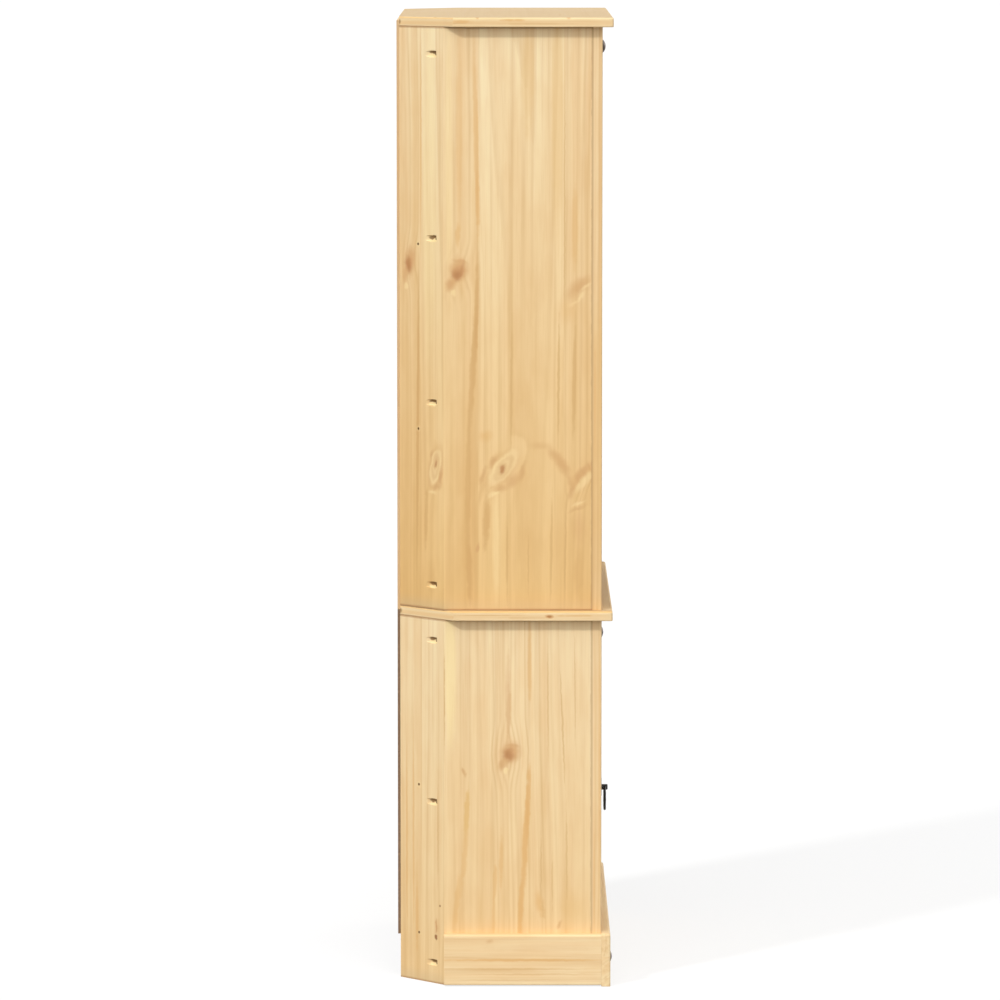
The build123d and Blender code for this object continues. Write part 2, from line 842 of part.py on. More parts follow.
def shelf_brads():
    """Headless nails through the corner panels into the shelf ends."""
    with BuildPart() as piece:
        for hand in (LEFT, RIGHT):
            for bottom in lower_shelf_bottoms + upper_shelf_bottoms:
                start, direction = brad_start(hand, bottom + board / 2)
                shank(start, direction, brad_radius, brad_length)
    return piece.part


def back_nails():
    """Flat-headed nails that hold both back panels."""
    with BuildPart() as piece:
        for hand in (LEFT, RIGHT):
            for z in lower_nails + upper_nails:
                head = (hand * nail_x, back, z)
                shank(head, (0, -1, 0), nail_head_radius, nail_head_height)
                shank(head, (0, -1, 0), nail_radius, nail_length)
    return piece.part


# ---- The cabinet -----------------------------------------------------------


cabinet = {
    "top_board": overhanging_board(top_under, top_dowel_depth),
    "waist_board": overhanging_board(waist_under, board),
    "header_rail": frame_rail(*header),
    "lower_top_rail": frame_rail(*top_rail),
    "lower_bottom_rail": frame_rail(*bottom_rail),
    "bottom_board": shelf(floor_board, frame_back),
    "lower_shelf": lower_shelf(),
    "upper_shelf_low": shelf(upper_shelf_bottoms[0], frame_back),
    "upper_shelf_high": shelf(upper_shelf_bottoms[1], frame_back),
    "upper_back_panel": back_panel(*upper_back_z, upper_nails),
    "lower_back_panel": back_panel(*lower_back_z, lower_nails),
    "front_plinth": front_plinth(),
    "door_top_rail": door_rail(
        (panel_z[1], door_z[1]),
        top_tenon_z,
        (panel_z[1], panel_z[1] + groove_depth),
        (panel_z[1], panel_z[1] + tenon_length),
    ),
    "door_bottom_rail": door_rail(
        (door_z[0], panel_z[0]),
        bottom_tenon_z,
        (panel_z[0] - groove_depth, panel_z[0]),
        (panel_z[0] - tenon_length, panel_z[0]),
    ),
    "door_muntin": door_muntin(),
    "pull_rosette": pull_rosette(),
    "pull_post": pull_post(),
    "pull_ring": pull_ring(),
    "pull_nut": pull_nut(),
    "hinge_frame_leaves": hinge_leaves(
        frame_leaf_face, frame_leaf_face + hinge_leaf, (0, 2), pin_radius, 1
    ),
    "hinge_door_leaves": hinge_leaves(
        door_leaf_face, door_leaf_face - hinge_leaf, (1,), pin_radius + pin_running_gap, -1
    ),
    "hinge_frame_screws": hinge_screws(frame_leaf_face, 1),
    "hinge_door_screws": hinge_screws(door_leaf_face, -1),
    "hinge_pins": hinge_pins(),
    "catch_magnet": catch_magnet(),
    "catch_screws": catch_screws(),
    "catch_strike": catch_strike(),
    "strike_screw": strike_screw(),
    "carcass_dowels": carcass_dowels(),
    "pocket_screws": pocket_screws(),
    "shelf_brads": shelf_brads(),
    "back_nails": back_nails(),
    "header_studs": studs(
        [(hand * stud_x, frame_front, header_stud_z) for hand in (LEFT, RIGHT)],
        header_stud_radius,
        header_stud_height,
    ),
    "rail_studs": studs(
        [(hand * stud_x, frame_front, rail_stud_z) for hand in (LEFT, RIGHT)],
        small_stud_radius,
        small_stud_height,
    ),
    "plinth_studs": studs(
        [(hand * plinth_stud_x, plinth_front, plinth_height / 2) for hand in (LEFT, RIGHT)],
        small_stud_radius,
        small_stud_height,
    ),
}

for word, hand in (("left", LEFT), ("right", RIGHT)):
    leaf_middles = hinge_middles if hand == RIGHT else ()
    cabinet[f"upper_side_{word}"] = side_panel(
        hand, waist_height, top_under, upper_shelf_bottoms, upper_pockets
    )
    cabinet[f"lower_side_{word}"] = side_panel(
        hand, 0, waist_under, lower_shelf_bottoms, lower_pockets
    )
    cabinet[f"upper_corner_{word}"] = corner_panel(
        hand, waist_height, top_under, upper_shelf_bottoms, upper_pockets, upper_nails
    )
    cabinet[f"lower_corner_{word}"] = corner_panel(
        hand, 0, waist_under, lower_shelf_bottoms, lower_pockets, lower_nails
    )
    cabinet[f"upper_stile_{word}"] = frame_stile(
        hand, waist_height, top_under, [header], [header_stud_z], ()
    )
    cabinet[f"lower_stile_{word}"] = frame_stile(
        hand, 0, waist_under, [bottom_rail, top_rail], [rail_stud_z], leaf_middles
    )
    cabinet[f"side_plinth_{word}"] = side_plinth(hand)
    cabinet[f"door_stile_{word}"] = door_stile(hand)
    cabinet[f"door_panel_{word}"] = door_panel(hand)

os.makedirs("parts", exist_ok=True)
for name, piece in cabinet.items():
    piece.label = name
    export_step(piece, f"parts/{name}.step")
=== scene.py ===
# %% [markdown]
# # A tall pine cabinet
#
# This lesson dresses a cabinet whose solids already exist. It keeps every board where the joiner put it, eases the
# sharp edges, gives each board a grain of its own, and models the hammered iron and the small hardware.

# %% Load the cabinet's solids
import json
import random
from collections import namedtuple
from contextlib import contextmanager
from math import cos, pi, radians, sin, sqrt

import bpy
from mathutils import Matrix, Vector

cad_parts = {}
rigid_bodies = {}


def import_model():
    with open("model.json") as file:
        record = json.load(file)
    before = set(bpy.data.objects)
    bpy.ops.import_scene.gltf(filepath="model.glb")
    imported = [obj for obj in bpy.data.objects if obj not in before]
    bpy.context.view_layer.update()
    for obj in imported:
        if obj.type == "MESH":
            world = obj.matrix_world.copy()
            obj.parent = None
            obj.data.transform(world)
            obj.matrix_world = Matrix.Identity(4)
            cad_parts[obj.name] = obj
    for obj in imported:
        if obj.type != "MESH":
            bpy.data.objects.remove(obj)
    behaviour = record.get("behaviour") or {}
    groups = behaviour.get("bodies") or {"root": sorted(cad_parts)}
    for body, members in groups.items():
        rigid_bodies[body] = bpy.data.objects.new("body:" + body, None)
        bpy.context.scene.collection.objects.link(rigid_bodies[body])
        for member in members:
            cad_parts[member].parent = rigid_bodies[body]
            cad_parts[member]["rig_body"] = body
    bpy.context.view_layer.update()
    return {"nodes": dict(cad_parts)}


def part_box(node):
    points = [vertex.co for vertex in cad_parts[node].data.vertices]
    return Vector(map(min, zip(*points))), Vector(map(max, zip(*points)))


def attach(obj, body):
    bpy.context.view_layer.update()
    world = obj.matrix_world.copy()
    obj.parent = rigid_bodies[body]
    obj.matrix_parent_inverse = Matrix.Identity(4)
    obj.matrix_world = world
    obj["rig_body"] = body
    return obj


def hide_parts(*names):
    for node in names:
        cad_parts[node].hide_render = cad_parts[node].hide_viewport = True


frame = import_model()
nodes = frame["nodes"]
MM = 0.001
X, Y, Z = Vector((1, 0, 0)), Vector((0, 1, 0)), Vector((0, 0, 1))

# %% [markdown]
# ## The camera
#
# The cabinet is looked at squarely from its left side, from far away with a long lens, so its upright edges stay
# almost parallel. A pitch of six degrees shows a little of the top.

# %% Camera
camera_place = (-11.172, 0.0, 2.0592)
camera_pitch = 6.081
camera_lens = 211.2
camera_shift = -0.00464

bpy.ops.object.camera_add(location=camera_place, rotation=(radians(90 - camera_pitch), 0, radians(-90)))
camera = bpy.context.object
camera.data.lens = camera_lens
camera.data.sensor_width = 36
camera.data.shift_x = camera_shift
camera.data.clip_end = 200
bpy.context.scene.camera = camera
bpy.context.scene.view_settings.view_transform = "Standard"
print("camera with a", camera_lens, "mm lens at", camera_place)

# %% [markdown]
# ## Materials are recipes of nodes
#
# A material here is a small network of nodes that reads the point of the surface, in metres, and works out a
# colour, a roughness and a relief. Adding nodes by hand takes many clicks, so a helper adds one, sets it and
# wires it in a single line.


# %% A helper that writes node recipes
def srgb(red, green, blue):
    """A colour as a screen shows it, 0 to 255, as the linear colour that a shader wants."""
    parts = [value / 255 for value in (red, green, blue)]
    return [part / 12.92 if part < 0.04045 else ((part + 0.055) / 1.055) ** 2.4 for part in parts] + [1.0]


def scaled(colour, share):
    return [part * share for part in colour[:3]] + [1.0]


def grey(value):
    return (value, value, value, 1.0)


class Nodes:
    """Short ways to add nodes to a tree."""

    def __init__(self, tree):
        self.tree = tree

    def add(self, kind, inputs=(), **options):
        node = self.tree.nodes.new(kind)
        for option, value in options.items():
            setattr(node, option, value)
        for socket, value in dict(inputs).items():
            self.feed(node.inputs[socket], value)
        return node

    def feed(self, socket, value):
        if isinstance(value, bpy.types.NodeSocket):
            self.tree.links.new(value, socket)
        else:
            socket.default_value = value

    def math(self, operation, *values):
        return self.add("ShaderNodeMath", enumerate(values), operation=operation).outputs[0]

    def vector(self, operation, *values):
        return self.add("ShaderNodeVectorMath", enumerate(values), operation=operation).outputs[0]

    def length(self, vector):
        return self.add("ShaderNodeVectorMath", {0: vector}, operation="LENGTH").outputs["Value"]

    def split(self, vector):
        return self.add("ShaderNodeSeparateXYZ", {0: vector}).outputs

    def within(self, place, middle, turn, size=(1, 1, 1)):
        """A place as it is seen from a frame that is moved, turned and sized."""
        inputs = {"Vector": place, "Location": middle, "Rotation": turn, "Scale": size}
        return self.add("ShaderNodeMapping", inputs, vector_type="TEXTURE").outputs[0]

    def noise(self, place, scale, detail=2.0, roughness=0.5, output="Fac"):
        inputs = {"Vector": place, "Scale": scale, "Detail": detail, "Roughness": roughness}
        return self.add("ShaderNodeTexNoise", inputs).outputs[output]

    def fibres(self, place, stretch, detail=2.0, roughness=0.5):
        """Noise with a scale of its own along each axis."""
        stretched = self.add("ShaderNodeMapping", {"Vector": place, "Scale": stretch}).outputs[0]
        return self.noise(stretched, 1.0, detail, roughness)

    def span(self, value, low, high, to_low=0.0, to_high=1.0, way="SMOOTHSTEP"):
        """Carries a value from one range to another, and holds it at the ends."""
        inputs = {"Value": value, "From Min": low, "From Max": high, "To Min": to_low, "To Max": to_high}
        return self.add("ShaderNodeMapRange", inputs, interpolation_type=way).outputs["Result"]

    def mix(self, factor, first, second):
        node = self.add("ShaderNodeMix", {"Factor": factor}, data_type="RGBA")
        self.feed(node.inputs[6], first)
        self.feed(node.inputs[7], second)
        return node.outputs[2]

    def ramp(self, factor, stops, way="LINEAR"):
        node = self.add("ShaderNodeValToRGB", {"Fac": factor})
        ramp = node.color_ramp
        ramp.interpolation = way
        while len(ramp.elements) < len(stops):
            ramp.elements.new(1.0)
        for element, (position, colour) in zip(ramp.elements, stops):
            element.position = position
            element.color = colour
        return node.outputs

    def seen(self):
        """One where the camera or a mirror looks, and zero elsewhere."""
        rays = self.add("ShaderNodeLightPath").outputs
        return self.math("MAXIMUM", rays["Is Camera Ray"], rays["Is Glossy Ray"])


class Recipe(Nodes):
    """A new material, with short ways to set its shader."""

    def __init__(self, name):
        self.material = bpy.data.materials.new(name)
        self.material.use_nodes = True
        super().__init__(self.material.node_tree)
        self.shader = self.tree.nodes["Principled BSDF"]
        self.place = self.add("ShaderNodeTexCoord").outputs["Object"]

    def colour(self, value):
        self.feed(self.shader.inputs["Base Color"], value)

    def rough(self, value):
        self.feed(self.shader.inputs["Roughness"], value)

    def relief(self, height, distance, strength):
        inputs = {"Height": height, "Distance": distance, "Strength": strength}
        self.feed(self.shader.inputs["Normal"], self.add("ShaderNodeBump", inputs).outputs[0])


print("the recipe helper is ready")

# %% [markdown]
# ## Pine
#
# A sawn board is a slice through a tree, so its figure is the tree's growth rings cut by a plane. The recipe
# works out each point's distance to the tree's middle line, the pith, and turns that distance into rings: pale
# early wood first, then a thin darker line. The pith leans a little and the rings wobble, which draws the long
# arches that a flat face shows, and the same formula gives the arcs on the end of a board. Wide boards are glued
# up from strips, and each strip has a pith and a tone of its own.
#
# A knot is a branch, seen as an oval. It lifts the rings round it, so that the lines swerve and close into eyes,
# and it stains the wood. The same oval, long and thin, is a resin streak.

# %% What describes a board
Strip = namedtuple("Strip", "width pith depth lean tone")
Mark = namedtuple("Mark", "across along wide tall lean colour strength lift edge height deep")

PALE = srgb(244, 225, 183)
WARM = srgb(235, 204, 156)
AMBER = srgb(221, 177, 108)
TAN = srgb(227, 184, 115)
DEEP = srgb(214, 169, 100)
LATE = srgb(206, 159, 99)
HEART = srgb(176, 120, 72)
HALO = srgb(208, 158, 106)
RESIN = srgb(221, 172, 108)
FIGURE = srgb(207, 157, 104)
GLEAM = srgb(245, 222, 165)
# dark brown for glue lines, and for painted contact shadow and shade along joints and edges
GLUE_AND_SHADE = srgb(150, 100, 60)
# dark brown for painted shade in holes and pockets and on the canted strips' rear ends
PAINTED_DARK_SHADE = srgb(124, 90, 52)
# a grey tint for painted shade: it darkens up-facing faces and the foot of each panel
PAINTED_SHADE = srgb(202, 176, 136)

ring_spacing = 7.5 * MM
slow_wobble, quick_wobble = 34 * MM, 3 * MM
line_strength = 0.34
pith_range, depth_range, lean_range = 0.5, 0.3, 0.1
through = 400.0


def spot(across, along, wide, tall, lean, colour, strength, lift=0.0, edge=0.4, height=0.0, deep=through):
    """A mark from a row of millimetres. It is full out to its edge, its lift swells the rings, and it goes deep."""
    sizes = [value * MM for value in (across, along, wide, tall, lift, height, deep)]
    return Mark(*sizes[:4], lean, colour, strength, sizes[4], edge, *sizes[5:])


# %% The pine recipe
def strip_numbers(wood, share, strips):
    """Looks up the numbers of the strip that a point lies in: pith, depth and lean as a colour, and the tone."""
    total = sum(strip.width for strip in strips)
    stops, edge = [], 0.0
    for strip in strips:
        pith, depth, lean = strip.pith / pith_range + 0.5, strip.depth / depth_range, strip.lean / lean_range + 0.5
        stops.append((edge / total, (pith, depth, lean, strip.tone)))
        edge += strip.width
    if len(stops) == 1:
        stops.append((1.0, stops[0][1]))
    found = wood.ramp(share, stops, "CONSTANT")
    return found["Color"], found["Alpha"]


def pine(name, centre, across, along, width, length, strips, marks, fade, gloss=0.3, painted_top_shade=0.0):
    """Pine whose grain runs along one direction. Marks are rows for spot, and fade says how amber the foot is."""
    wood = Recipe(name)
    wood.shader.inputs["Specular IOR Level"].default_value = gloss
    turn = Matrix((across, along.cross(across), along)).transposed().to_euler()
    board = wood.within(wood.place, centre, turn)
    x, y, z = wood.split(board)
    numbers, tone = strip_numbers(wood, wood.math("MULTIPLY_ADD", x, 1 / width, 0.5), strips)
    pith, depth, lean = wood.split(numbers)
    own_place = wood.vector("MULTIPLY_ADD", numbers, (7, 3, 11), board)

    # distance to the pith, with a slow and a quick wobble
    pith = wood.math("MULTIPLY_ADD", pith, pith_range, -pith_range / 2)
    lean = wood.math("MULTIPLY_ADD", lean, lean_range, -lean_range / 2)
    from_x = wood.math("SUBTRACT", x, pith)
    from_y = wood.math("MULTIPLY_ADD", depth, depth_range, wood.math("MULTIPLY_ADD", z, lean, y))
    reach = wood.length(wood.add("ShaderNodeCombineXYZ", {0: from_x, 1: from_y}).outputs[0])
    reach = wood.math("MULTIPLY_ADD", wood.fibres(own_place, (7, 7, 0.8)), slow_wobble, reach)
    reach = wood.math("MULTIPLY_ADD", wood.fibres(own_place, (60, 60, 3), 3.0), quick_wobble, reach)

    # knots, streaks and flames are ovals: a short one has a rugged outline, a long one wanders along the grain
    jolt = wood.vector("SUBTRACT", wood.noise(board, 70, 3.0, output="Color"), (0.5, 0.5, 0.5))
    rugged = wood.vector("MULTIPLY_ADD", jolt, (8 * MM, 0, 12 * MM), board)
    calm = wood.vector("MULTIPLY_ADD", jolt, (3 * MM, 0, 70 * MM), board)
    stains, swelling = [], None
    for mark in (spot(*row) for row in marks):
        small = max(mark.wide, mark.tall) < 3 * MM or mark.wide > 6 * mark.tall
        place = board if small else calm if mark.tall > 6 * mark.wide else rugged
        middle, size = (mark.across, mark.height, mark.along), (mark.wide, mark.deep, mark.tall)
        oval = wood.length(wood.within(place, middle, (0, radians(mark.lean), 0), size))
        if mark.lift:
            reach = wood.math("ADD", reach, wood.span(oval, 0.0, 2.4, mark.lift, 0.0, "SMOOTHERSTEP"))
            near = wood.span(oval, 0.6, 2.2, 1.0, 0.0)
            swelling = near if swelling is None else wood.math("MAXIMUM", swelling, near)
        stains.append((wood.span(oval, mark.edge, 1.1, mark.strength, 0.0), mark.colour))

    # rings: pale early wood, then a late line, each of its own strength
    ring = wood.math("DIVIDE", reach, ring_spacing)
    number = wood.math("ADD", wood.math("FLOOR", ring), pith)
    own = wood.add("ShaderNodeTexWhiteNoise", {"W": number}, noise_dimensions="1D").outputs["Value"]
    profile = [(0.0, 0.4), (0.2, 0.0), (0.5, 0.1), (0.84, 1.0), (1.0, 0.4)]
    line = wood.ramp(wood.math("FRACT", ring), [(at, grey(level)) for at, level in profile])["Color"]
    line = wood.math("MULTIPLY", line, wood.span(own, 0.2, 1.0, 0.0, 1.0, "LINEAR"))

    # good and lean years, long soft bands, narrower streaks, fine fibre and small clouds
    inputs = {"W": ring, "Scale": 0.4, "Detail": 2.0}
    years = wood.add("ShaderNodeTexNoise", inputs, noise_dimensions="1D").outputs["Fac"]
    band = wood.fibres(own_place, (13, 13, 0.5), 4.0, 0.6)
    streak = wood.fibres(own_place, (90, 90, 1.4), 2.0, 0.55)
    fibre = wood.fibres(own_place, (650, 650, 13), 2.0, 0.6)
    cloud = wood.fibres(own_place, (40, 40, 12))
    tint = wood.math("ADD", wood.math("MULTIPLY", tone, 0.5), wood.span(band, 0.3, 0.7, 0.08, 0.52))
    tint = wood.math("ADD", tint, wood.span(years, 0.3, 0.7, -0.15, 0.3))
    tint = wood.math("ADD", tint, wood.span(cloud, 0.35, 0.7, -0.05, 0.2))
    colour = wood.mix(tint, PALE, WARM)
    amber = wood.mix(wood.span(tint, 0.1, 1.1), TAN, DEEP)
    colour = wood.mix(wood.span(z, length / 2, -length / 2, 0.0, fade, "LINEAR"), colour, amber)
    colour = wood.mix(wood.span(streak, 0.45, 0.8, 0.0, 0.38), colour, LATE)
    shade = wood.math("MULTIPLY", line, line_strength)
    if swelling is not None:
        shade = wood.math("MULTIPLY", shade, wood.math("MULTIPLY_ADD", swelling, 0.5, 1.0))
    colour = wood.mix(shade, colour, LATE)
    for share, stain in stains:
        colour = wood.mix(share, colour, stain)
    colour = wood.mix(wood.span(fibre, 0.4, 0.8, 0.0, 0.14), colour, LATE)
    # up-facing faces are painted darker and greyer as shade, the top board most
    if painted_top_shade:
        up = wood.split(wood.add("ShaderNodeNewGeometry").outputs["Normal"])["Z"]
        colour = wood.mix(wood.span(up, 0.75, 0.98, 0.0, painted_top_shade), colour, PAINTED_SHADE)
    wood.colour(colour)
    wood.rough(wood.span(line, 0.0, 1.0, 0.6, 0.52))
    wood.relief(wood.math("MULTIPLY_ADD", fibre, 0.6, line), 0.05 * MM, 0.5)
    return wood.material


print("pine rings every", ring_spacing / MM, "mm")

# %% [markdown]
# ## Eased copies of the boards
#
# A planed board never has a knife edge: sandpaper takes it off. The solids come as loose triangles with sharp
# corners, so each board is copied, its corners are merged, its flat faces are made whole again, and its long
# edges are bevelled. The bevel is what catches the light.


# %% Helpers that ease a board
def deselect():
    bpy.ops.object.select_all(action="DESELECT")


def select_only(piece):
    deselect()
    piece.select_set(True)
    bpy.context.view_layer.objects.active = piece


def apply_modifier(piece, kind, **options):
    """Adds one modifier, sets it and applies it."""
    modifier = piece.modifiers.new(kind.lower(), kind)
    for option, value in options.items():
        setattr(modifier, option, value)
    select_only(piece)
    bpy.ops.object.modifier_apply(modifier=modifier.name)


@contextmanager
def editing(piece):
    """Edit mode on one piece with all of it selected, and object mode again at the end."""
    select_only(piece)
    bpy.ops.object.mode_set(mode="EDIT")
    bpy.ops.mesh.select_all(action="SELECT")
    yield
    bpy.ops.object.mode_set(mode="OBJECT")


def whole_copy(node, name):
    """A copy of a solid with its corners merged and its flat faces whole."""
    piece = bpy.data.objects.new(name, nodes[node].data.copy())
    bpy.context.collection.objects.link(piece)
    select_only(piece)
    if piece.data.has_custom_normals:
        bpy.ops.mesh.customdata_custom_splitnormals_clear()
    with editing(piece):
        bpy.ops.mesh.remove_doubles(threshold=0.001 * MM)
        bpy.ops.mesh.dissolve_limited(angle_limit=radians(0.5))
    return piece


def select_edges(piece, wanted):
    """Selects the edges that a test picks, and nothing else, and stays in edit mode."""
    with editing(piece):
        bpy.ops.mesh.select_mode(type="EDGE")
        bpy.ops.mesh.select_all(action="DESELECT")
    points = piece.data.vertices
    for edge in piece.data.edges:
        edge.select = wanted(*(points[index].co for index in edge.vertices))
    bpy.ops.object.mode_set(mode="EDIT")


def soften(piece, angle=35):
    """Smooth shading that keeps large faces flat and corners crisp."""
    select_only(piece)
    bpy.ops.object.shade_smooth_by_angle(angle=radians(angle))
    apply_modifier(piece, "WEIGHTED_NORMAL", keep_sharp=True, weight=90)


def finish_piece(piece, node, material):
    """Gives a piece its material, body and finish, and hides the solid that it stands for."""
    piece.data.materials.clear()
    piece.data.materials.append(material)
    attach(piece, nodes[node]["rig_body"])
    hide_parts(node)


def eased_board(node, ease):
    """A board whose long outer edges are softened, but not where a side meets its canted panel or its stile."""
    piece = whole_copy(node, node + "_eased")
    low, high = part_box(node)
    near = 0.05 * MM
    joined = {"side": (low.y, high.y), "corner": (low.y,), "stile": (high.y,)}.get(node.split("_")[1], ())

    def outer(a, b):
        planes = sum(
            abs(a[axis] - side[axis]) < near and abs(b[axis] - side[axis]) < near
            for axis in range(3)
            for side in (low, high)
        )
        if any(abs(a.y - joint) < near and abs(b.y - joint) < near for joint in joined):
            return False
        return planes >= 2 and (a - b).length > 4 * ease

    select_edges(piece, outer)
    bpy.ops.mesh.bevel(offset=ease, segments=2, affect="EDGES")
    bpy.ops.object.mode_set(mode="OBJECT")
    soften(piece)
    return piece


# %% [markdown]
# ## Every board has its own place in a tree
#
# The long side of a board is the way its grain runs. Most boards get their strips and knots from drawn numbers,
# with a fixed seed so that the cabinet looks the same each time. The left side's strips and marks are listed one
# by one, because it is the side that is seen most.

# %% Drawn boards
dice = random.Random(11)


def drawn_strips(width):
    """Strips of about 60 to 110 mm that fill a width."""
    strips, filled = [], 0.0
    while filled < width:
        strip = dice.uniform(60, 110) * MM
        middle = filled + strip / 2 - width / 2
        pith = middle + dice.uniform(-0.09, 0.09)
        depth = dice.uniform(0.03, 0.16)
        strips.append(Strip(strip, pith, depth, dice.uniform(-0.03, 0.03), dice.uniform(0.05, 0.8)))
        filled += strip
    return strips


def knot(across, along, size, lean, strength):
    """A small branch: rings that swerve, a warm halo, a brown heart off its middle, a tail and a pale gleam."""
    left = -1 if lean > 0 else 1
    return [
        (across, along + 0.4 * size, 2 * size, 3.2 * size, lean, HALO, 0.3 * strength, 0.9 * size),
        (across, along, size, 1.5 * size, lean, HALO, 0.9 * strength),
        (across + 0.2 * left * size, along - 0.2 * size, 0.5 * size, 0.9 * size, lean, HEART, strength),
        (across + 0.7 * left * size, along - 1.5 * size, 0.4 * size, 1.1 * size, lean, HALO, 0.6 * strength),
        (across + 0.5 * left * size, along - 2.6 * size, 0.4 * size, 0.6 * size, 0, GLEAM, 0.7 * strength),
    ]


def drawn_marks(width, length):
    """A few knots and thin runs of resin, more of them on a larger board."""
    found = []
    wide, long = width / MM, length / MM
    for _ in range(dice.choice((0, 0, 1, 1)) + round(width * length * 6)):
        across = dice.uniform(-0.42, 0.42) * wide
        along = dice.uniform(-0.45, 0.45) * long
        found += knot(across, along, dice.uniform(5, 11), dice.uniform(-25, 25), dice.uniform(0.5, 0.85))
    for _ in range(round(length * 4)):
        across = dice.uniform(-0.45, 0.45) * wide
        along = dice.uniform(-0.45, 0.45) * long
        wide_tall_lean = dice.uniform(1.5, 5), dice.uniform(50, 160), dice.uniform(-1, 1)
        found.append((across, along, *wide_tall_lean, RESIN, 0.6))
    return found


def axes_of(node):
    """A board's middle, its directions across and along the grain, its width and its length."""
    low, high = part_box(node)
    size = high - low
    order = sorted(range(3), key=lambda axis: size[axis])
    unit = (X, Y, Z)
    return (low + high) / 2, unit[order[1]], unit[order[2]], size[order[1]], size[order[2]]


def corner_axes(node):
    """The same for a canted panel, whose face stands at 45 degrees."""
    low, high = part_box(node)
    hand = -1 if node.endswith("left") else 1
    cant = high.y - low.y
    outer_x = low.x if hand < 0 else high.x
    middle = Vector((outer_x - hand * cant / 2, (low.y + high.y) / 2, (low.z + high.z) / 2))
    across = Vector((hand, -1, 0)).normalized()
    return middle, across, Z, cant * sqrt(2), high.z - low.z


# %% The left side, listed one by one
upper_side_knots = [
    # a round knot near the rear edge
    (-111, 157, 6, 28, 0, RESIN, 0.5),
    (-112, 92, 24, 32, 20, HALO, 0.3, 8, 0.2),
    (-108, 92, 21, 24, 25, HALO, 0.9, 0, 0.2),
    (-113, 84, 13, 15, 20, HEART, 0.8, 0, 0.1),
    (-104, 92, 6, 17, 20, HEART, 0.4, 0, 0.0),
    (-124, 67, 12, 18, 24, HALO, 0.85, 0, 0.1),
    (-106, 108, 20, 5, 16, FIGURE, 0.5, 0, 0.1),
    (-118, 52, 6, 7, 0, GLEAM, 0.45),
    # the swirl with an eye
    (-64, -286, 6, 22, 18, FIGURE, 0.6, 0, 0.1),
    (-45, -262, 9, 18, 32, FIGURE, 0.75, 0, 0.1),
    (-60, -215, 18, 14, 0, RESIN, 0.5, 0, 0.0),
    (-27, -276, 25, 54, 37, FIGURE, 0.35, 0, 0.4),
    (-27, -273, 17, 43, 37, GLEAM, 0.55, 12, 0.7),
    (-26, -274, 13, 35, 36, FIGURE, 0.5, 0, 0.5),
    (-27, -274, 10, 25, 34, GLEAM, 0.4, 0, 0.5),
    (-29, -276, 9, 16, 30, HALO, 0.7, 0, 0.2),
    (-29, -276.5, 5.5, 9, 28, HEART, 0.75, 0, 0.2),
    (-9, -297, 12, 24, 40, HALO, 0.6, 0, 0.1),
    (8, -282, 7, 26, 14, FIGURE, 0.6, 0, 0.1),
    (-31, -312, 16, 9, -12, HALO, 0.6, 0, 0.1),
    (-44, -322, 14, 5, -14, GLEAM, 0.5, 0, 0.2),
    # the arch beside it and the long swerves at the front edge
    (40, -232, 30, 9, 0, FIGURE, 0.35, 0, 0.0),
    (70, -252, 13, 28, -42, FIGURE, 0.6, 0, 0.1),
    (84, -272, 13, 24, -32, FIGURE, 0.65, 0, 0.1),
    (96, -300, 7, 24, -12, FIGURE, 0.45, 0, 0.1),
    (119, -283, 11, 34, 43, FIGURE, 0.75, 0, 0.2),
    (101, -316, 9, 24, 17, FIGURE, 0.65, 0, 0.1),
    (121, -300, 10, 34, 37, GLEAM, 0.4, 9, 0.3),
    (113, -385, 18, 42, 0, HALO, 0.35, 0, 0.1),
    (110, -350, 24, 5, -20, FIGURE, 0.5, 0, 0.1),
    (112, -340, 20, 4, -22, GLEAM, 0.4, 0, 0.1),
    (113, 62, 17, 38, 50, FIGURE, 0.7, 0, 0.1),
    (126, 62, 5, 16, 52, GLEAM, 0.45, 0, 0.1),
    (116, 44, 5, 16, 36, GLEAM, 0.45, 0, 0.1),
    (101, 30, 5, 16, 58, GLEAM, 0.4, 0, 0.1),
    (90, 20, 28, 40, 30, RESIN, 0.3, 0, 0.0),
]
upper_side_streaks = [
    (-127, 300, 9, 300, 0, GLEAM, 0.3),
    (-108, 350, 7, 240, 0, RESIN, 0.4),
    (-77, 335, 5.5, 210, -1.3, RESIN, 0.5),
    (-74, 215, 5, 70, -1, RESIN, 0.5),
    (-76, 30, 5, 110, 1, LATE, 0.6),
    (-83, -90, 7, 140, 3.5, LATE, 0.65),
    (-92, -300, 7, 160, 1, LATE, 0.6),
    (-90, -465, 7, 80, -2, LATE, 0.7),
    (-58, -375, 9, 60, 3, LATE, 0.6),
    (-40, -420, 8, 120, 0, GLEAM, 0.3),
    (-12, -120, 3, 160, 0.5, LATE, 0.5),
    (-20, -440, 3, 90, 0, LATE, 0.5),
    (62, -420, 3, 120, 1, LATE, 0.5),
    (112, -470, 10, 60, 0, LATE, 0.35),
    (-75, -423, 4, 11, 15, FIGURE, 0.65),
    (18, 450, 17, 130, 0, AMBER, 0.35),
    (73, 390, 15, 270, 0, AMBER, 0.4),
    (105, 170, 7, 90, 0, RESIN, 0.4),
    (86, 200, 1.6, 320, 0, LATE, 0.5),
    (75, -110, 3, 140, 0.5, LATE, 0.6),
    (104, -110, 4.5, 140, 1, LATE, 0.55),
    (19, -455, 1.8, 80, 0, LATE, 0.45),
    (88, -430, 2, 120, 0.5, LATE, 0.5),
]
upper_side_strips = [
    Strip(0.064, -0.16, 0.10, 0.01, 0.45),
    Strip(0.1576, 0.01, 0.13, -0.012, 0.05),
    Strip(0.0534, 0.20, 0.09, 0.015, 0.6),
]
